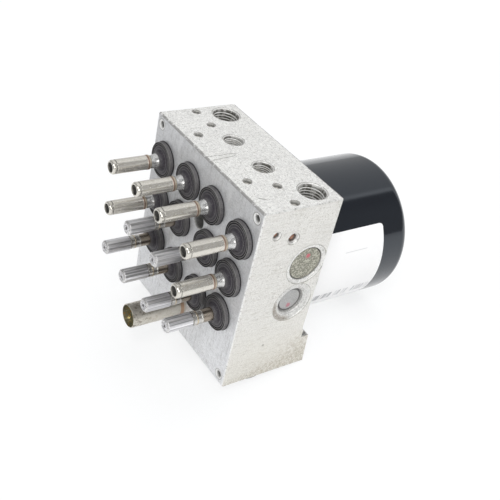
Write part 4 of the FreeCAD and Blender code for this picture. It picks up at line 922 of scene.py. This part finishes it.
def labelMesh(c, s):
    rows, columns = s["rows"], s["columns"]
    arc = math.radians(s["top"] - s["bottom"]) * c["radius"]
    length = s["end"] - s["start"]
    grid = []
    for row in range(rows + 1):
        down = arc * row / rows
        edge = min(down, arc - down)
        inset = 0.0
        if edge < s["corner"]:
            inset = s["corner"] - math.sqrt(s["corner"] ** 2 - (s["corner"] - edge) ** 2)
        for column in range(columns + 1):
            grid.append((math.radians(s["top"]) - down / c["radius"],
                         s["start"] + inset + (length - 2 * inset) * column / columns))
    verts = []
    for lift in (s["gap"], s["thick"]):
        radius = c["radius"] + lift
        for angle, y in grid:
            x, z = radius * math.cos(angle), radius * math.sin(angle)
            verts.append(Vector((x, blockBack + y, motorAxis + z)) * mm)
    width, layer = columns + 1, len(grid)
    faces = []
    for row in range(rows):
        for column in range(columns):
            a = row * width + column
            quad = (a, a + 1, a + 1 + width, a + width)
            faces += [quad, tuple(layer + i for i in reversed(quad))]
    rim = [(row * width, (row + 1) * width) for row in range(rows)]
    rim += [((row + 1) * width + columns, row * width + columns) for row in range(rows)]
    rim += [(column + 1, column) for column in range(columns)]
    rim += [(rows * width + column, rows * width + column + 1) for column in range(columns)]
    faces += [(a, b, layer + b, layer + a) for a, b in rim]
    mesh = bpy.data.meshes.new("label")
    mesh.from_pydata(verts, [], faces)
    return faceOut(mesh)


paper = pieceFrom(labelMesh(can, label), "motorLabel", paperFinish, 40)
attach(paper, "unit")
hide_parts("motor_label")
screws = finishedCopy("motor_screws", "canScrews", screwFinish)
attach(screws, "unit")
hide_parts("motor_screws")
print("motor")


# springs, each on its own copy of its mesh

springs = {"pump": {"along": 0, "fixedEnd": 38.0, "travel": 1.6},
           "accumulator": {"along": 2, "fixedEnd": 2.0, "travel": 5.0}}
springSteel = plainFinish("spring wire", (0.40, 0.39, 0.38), 1.0, 0.30, 1.6)
for kind, s in springs.items():
    for side, mirror in (("right", 1), ("left", -1)):
        node = kind + "_spring_" + side
        low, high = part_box(node)
        spring = finishedCopy(node, kind + "Spring" + side.capitalize(), springSteel)
        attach(spring, "unit")
        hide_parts(node)
        axis, anchor = Vector((0, 0, 0)), (low + high) / 2
        axis[s["along"]] = 1
        anchor[s["along"]] = s["fixedEnd"] * mm * (mirror if kind == "pump" else 1)
        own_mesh(spring)
print("springs")


# nodes kept from the frame

ironFinish = plainFinish("soft iron", (0.50, 0.49, 0.47), 1.0, 0.34, 1.2)
groundSteel = plainFinish("ground steel", (0.62, 0.62, 0.61), 1.0, 0.24, 1.4)
mouldingFinish = plainFinish("black moulding", (0.028, 0.028, 0.030), 0.0, 0.48, 1.4, 0.3, 0.04)
ferriteFinish = plainFinish("sintered magnet", (0.11, 0.11, 0.115), 0.2, 0.62, 1.8, 0.35, 0.05)
carbonFinish = plainFinish("pressed carbon", (0.06, 0.06, 0.062), 0.1, 0.58, 1.8, 0.35, 0.04)
copperFinish = plainFinish("bare copper", (0.74, 0.40, 0.24), 1.0, 0.30, 1.4, 0.25, 0.03, (0.42, 0.21, 0.13))


def laminatedIron():
    look = {"iron": (0.42, 0.41, 0.40), "joint": (0.12, 0.11, 0.10), "sheet": 0.65}
    f = Finish("laminated iron", {"Metallic": 0.9})
    line = f.step(abs(f.y.math("FRACT", f.y / look["sheet"]) - 0.5), 0.40, 0.47)
    grain = f.noise(1.2, 4, 0.6)
    tone = f.blend(line * 0.7, f.shaded(look["iron"], 0.85 + grain * 0.3), look["joint"])
    return f.close(tone, 0.36 + grain * 0.12, None, grain * 0.3 - line, 0.04)


laminations = laminatedIron()
kept = {
    "sensor_circuit_board": boardFinish, "sensor_contacts": goldFinish, "motor_end_plate": mouldingFinish,
    "motor_magnets": ferriteFinish, "motor_brushes": carbonFinish, "rotor_shaft": groundSteel,
    "armature_core": laminations, "armature_windings": copperFinish, "commutator": copperFinish,
    "eccentric_bearing": groundSteel, "front_bearing": groundSteel, "rear_bearing": groundSteel,
}
for side in ("right", "left"):
    kept["pump_piston_" + side] = groundSteel
    kept["accumulator_piston_" + side] = capFinish
for number in range(1, 7):
    kept["inlet_valve_plunger_%d" % number] = ironFinish
    kept["outlet_valve_plunger_%d" % number] = ironFinish
for node, material in kept.items():
    mesh = frame["nodes"][node].data
    mesh.materials.clear()
    mesh.materials.append(material)
print("kept nodes:", len(kept))


# studio

studio = {"tilt": 7.35, "floorReach": 4.0, "floor": (0.90, 0.90, 0.905, 1.0), "glow": (0.99, 0.997, 1.0, 1.0),
          "room": (0.985, 0.99, 1.0, 1.0), "aim": (0, 0.01, 0.05)}
view = {"at": (258.271, -216.053, 281.570), "lens": 57.69, "right": (0.546137, 0.813615, 0.199412),
        "down": (0.571763, -0.188068, -0.798572), "forward": (-0.612227, 0.550146, -0.567906)}
mirrored = {"room": 0.22, "panel": 0.33, "panelRise": 0.20, "rim": 0.38, "front": 0.12, "window": 0.07}
roomLevel = 0.46

tilt = math.radians(studio["tilt"])
normal = Vector((0, -math.sin(tilt), math.cos(tilt)))
lowest = min((vertex.co.dot(normal) for piece in bpy.context.scene.objects if piece.type == "MESH"
              and piece.get("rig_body") for vertex in piece.data.vertices), default=0)
foot, across = normal * lowest, Vector((studio["floorReach"], 0, 0))
along = normal.cross(across)
floorMesh = bpy.data.meshes.new("floor")
floorMesh.from_pydata([foot + across * a + along * b for a, b in ((-1, -1), (1, -1), (1, 1), (-1, 1))],
                      [], [(0, 1, 2, 3)])
floor = bpy.data.objects.new("floor", floorMesh)
bpy.context.scene.collection.objects.link(floor)

f = Finish("pale floor", {"Specular IOR Level": 0.2})
f.close(studio["floor"], 0.6)
glow = f.add("ShaderNodeEmission", None, {"Color": studio["glow"], "Strength": 1.05})
seen = f.add("ShaderNodeLightPath", output="Is Camera Ray")
beyond = f.step(f.away(f.x, f.y, 0, 30), 180, 600)      # white away from the object
share = (seen * (0.75 + beyond * 0.25)).most(seen.beside("Is Glossy Ray") * 0.6)
mixed = f.add("ShaderNodeMixShader", None, {0: share, 1: Wire(f, f.shader.outputs[0]), 2: glow})
ending = next(n for n in f.tree.nodes if n.type == "OUTPUT_MATERIAL")
f.plug(mixed, ending.inputs["Surface"])
floorMesh.materials.append(f.material)

world = bpy.data.worlds.new("studio")
bpy.context.scene.world = world
world.use_nodes = True
sky = Graph(world.node_tree)
sky.tree.nodes.clear()
isCamera = sky.add("ShaderNodeLightPath", output="Is Camera Ray")
direction = sky.add("ShaderNodeTexCoord", output="Generated")
toRight = sky.add("ShaderNodeSeparateXYZ", None, {0: direction})
toBack, height = toRight.beside("Y"), toRight.beside("Z")
panel = (1 - sky.step(toRight, 0.10, 0.16)) * sky.step(toBack, -0.25, 0.1) * sky.step(height, -0.05, 0.1)
rim = sky.step(toRight, 0.02, 0.08) * panel
front = 1 - sky.step(toBack, -0.6, 0.0)
window = sky.step(toRight, 0.2, 0.5) * sky.step(toBack, 0.0, 0.3) * sky.step(height, 0.0, 0.2)
glossy = mirrored["room"] + panel * (mirrored["panel"] + height * mirrored["panelRise"])
glossy = glossy + rim * mirrored["rim"] + front * mirrored["front"] + window * mirrored["window"]
level = roomLevel + isCamera.beside("Is Glossy Ray") * (glossy - roomLevel)
room = sky.add("ShaderNodeBackground", None, {"Color": studio["room"], "Strength": level})
whiteRoom = sky.add("ShaderNodeBackground", None, {"Color": (1, 1, 1, 1), "Strength": 1.0})
sky.end("ShaderNodeOutputWorld", sky.add("ShaderNodeMixShader", None, {0: isCamera, 1: room, 2: whiteRoom}))

softboxes = {
    "overhead": {"at": (-0.15, 0.25, 1.1), "side": 0.9, "power": 5.2, "tint": (1, 1, 1), "shine": False},
    "right": {"at": (1.15, -0.25, 0.6), "side": 0.7, "power": 4.6, "tint": (1, 0.995, 0.985), "shine": True},
    "front": {"at": (0.5, -0.62, 1.05), "side": 0.35, "power": 4.8, "tint": (0.99, 0.995, 1), "shine": True},
}
for name, box in softboxes.items():
    lamp = bpy.data.lights.new(name, "AREA")
    lamp.shape = "RECTANGLE"
    lamp.size = lamp.size_y = box["side"]
    lamp.energy = box["power"]
    lamp.color = box["tint"]
    holder = bpy.data.objects.new(name, lamp)
    holder.location = box["at"]
    holder.rotation_euler = (Vector(studio["aim"]) - Vector(box["at"])).to_track_quat("-Z", "Y").to_euler()
    holder.visible_glossy = box["shine"]
    bpy.context.scene.collection.objects.link(holder)

eye = bpy.data.cameras.new("camera")
eye.lens = view["lens"]
eye.sensor_width = 36.0
eye.clip_start = 0.01
camera = bpy.data.objects.new("camera", eye)
axes = [Vector(view["right"]), -Vector(view["down"]), -Vector(view["forward"])]
camera.matrix_world = Matrix.Translation(Vector(view["at"]) * mm) @ Matrix(axes).transposed().to_4x4()
bpy.context.scene.collection.objects.link(camera)
bpy.context.scene.camera = camera
bpy.context.scene.view_settings.view_transform = "Standard"
print("studio")
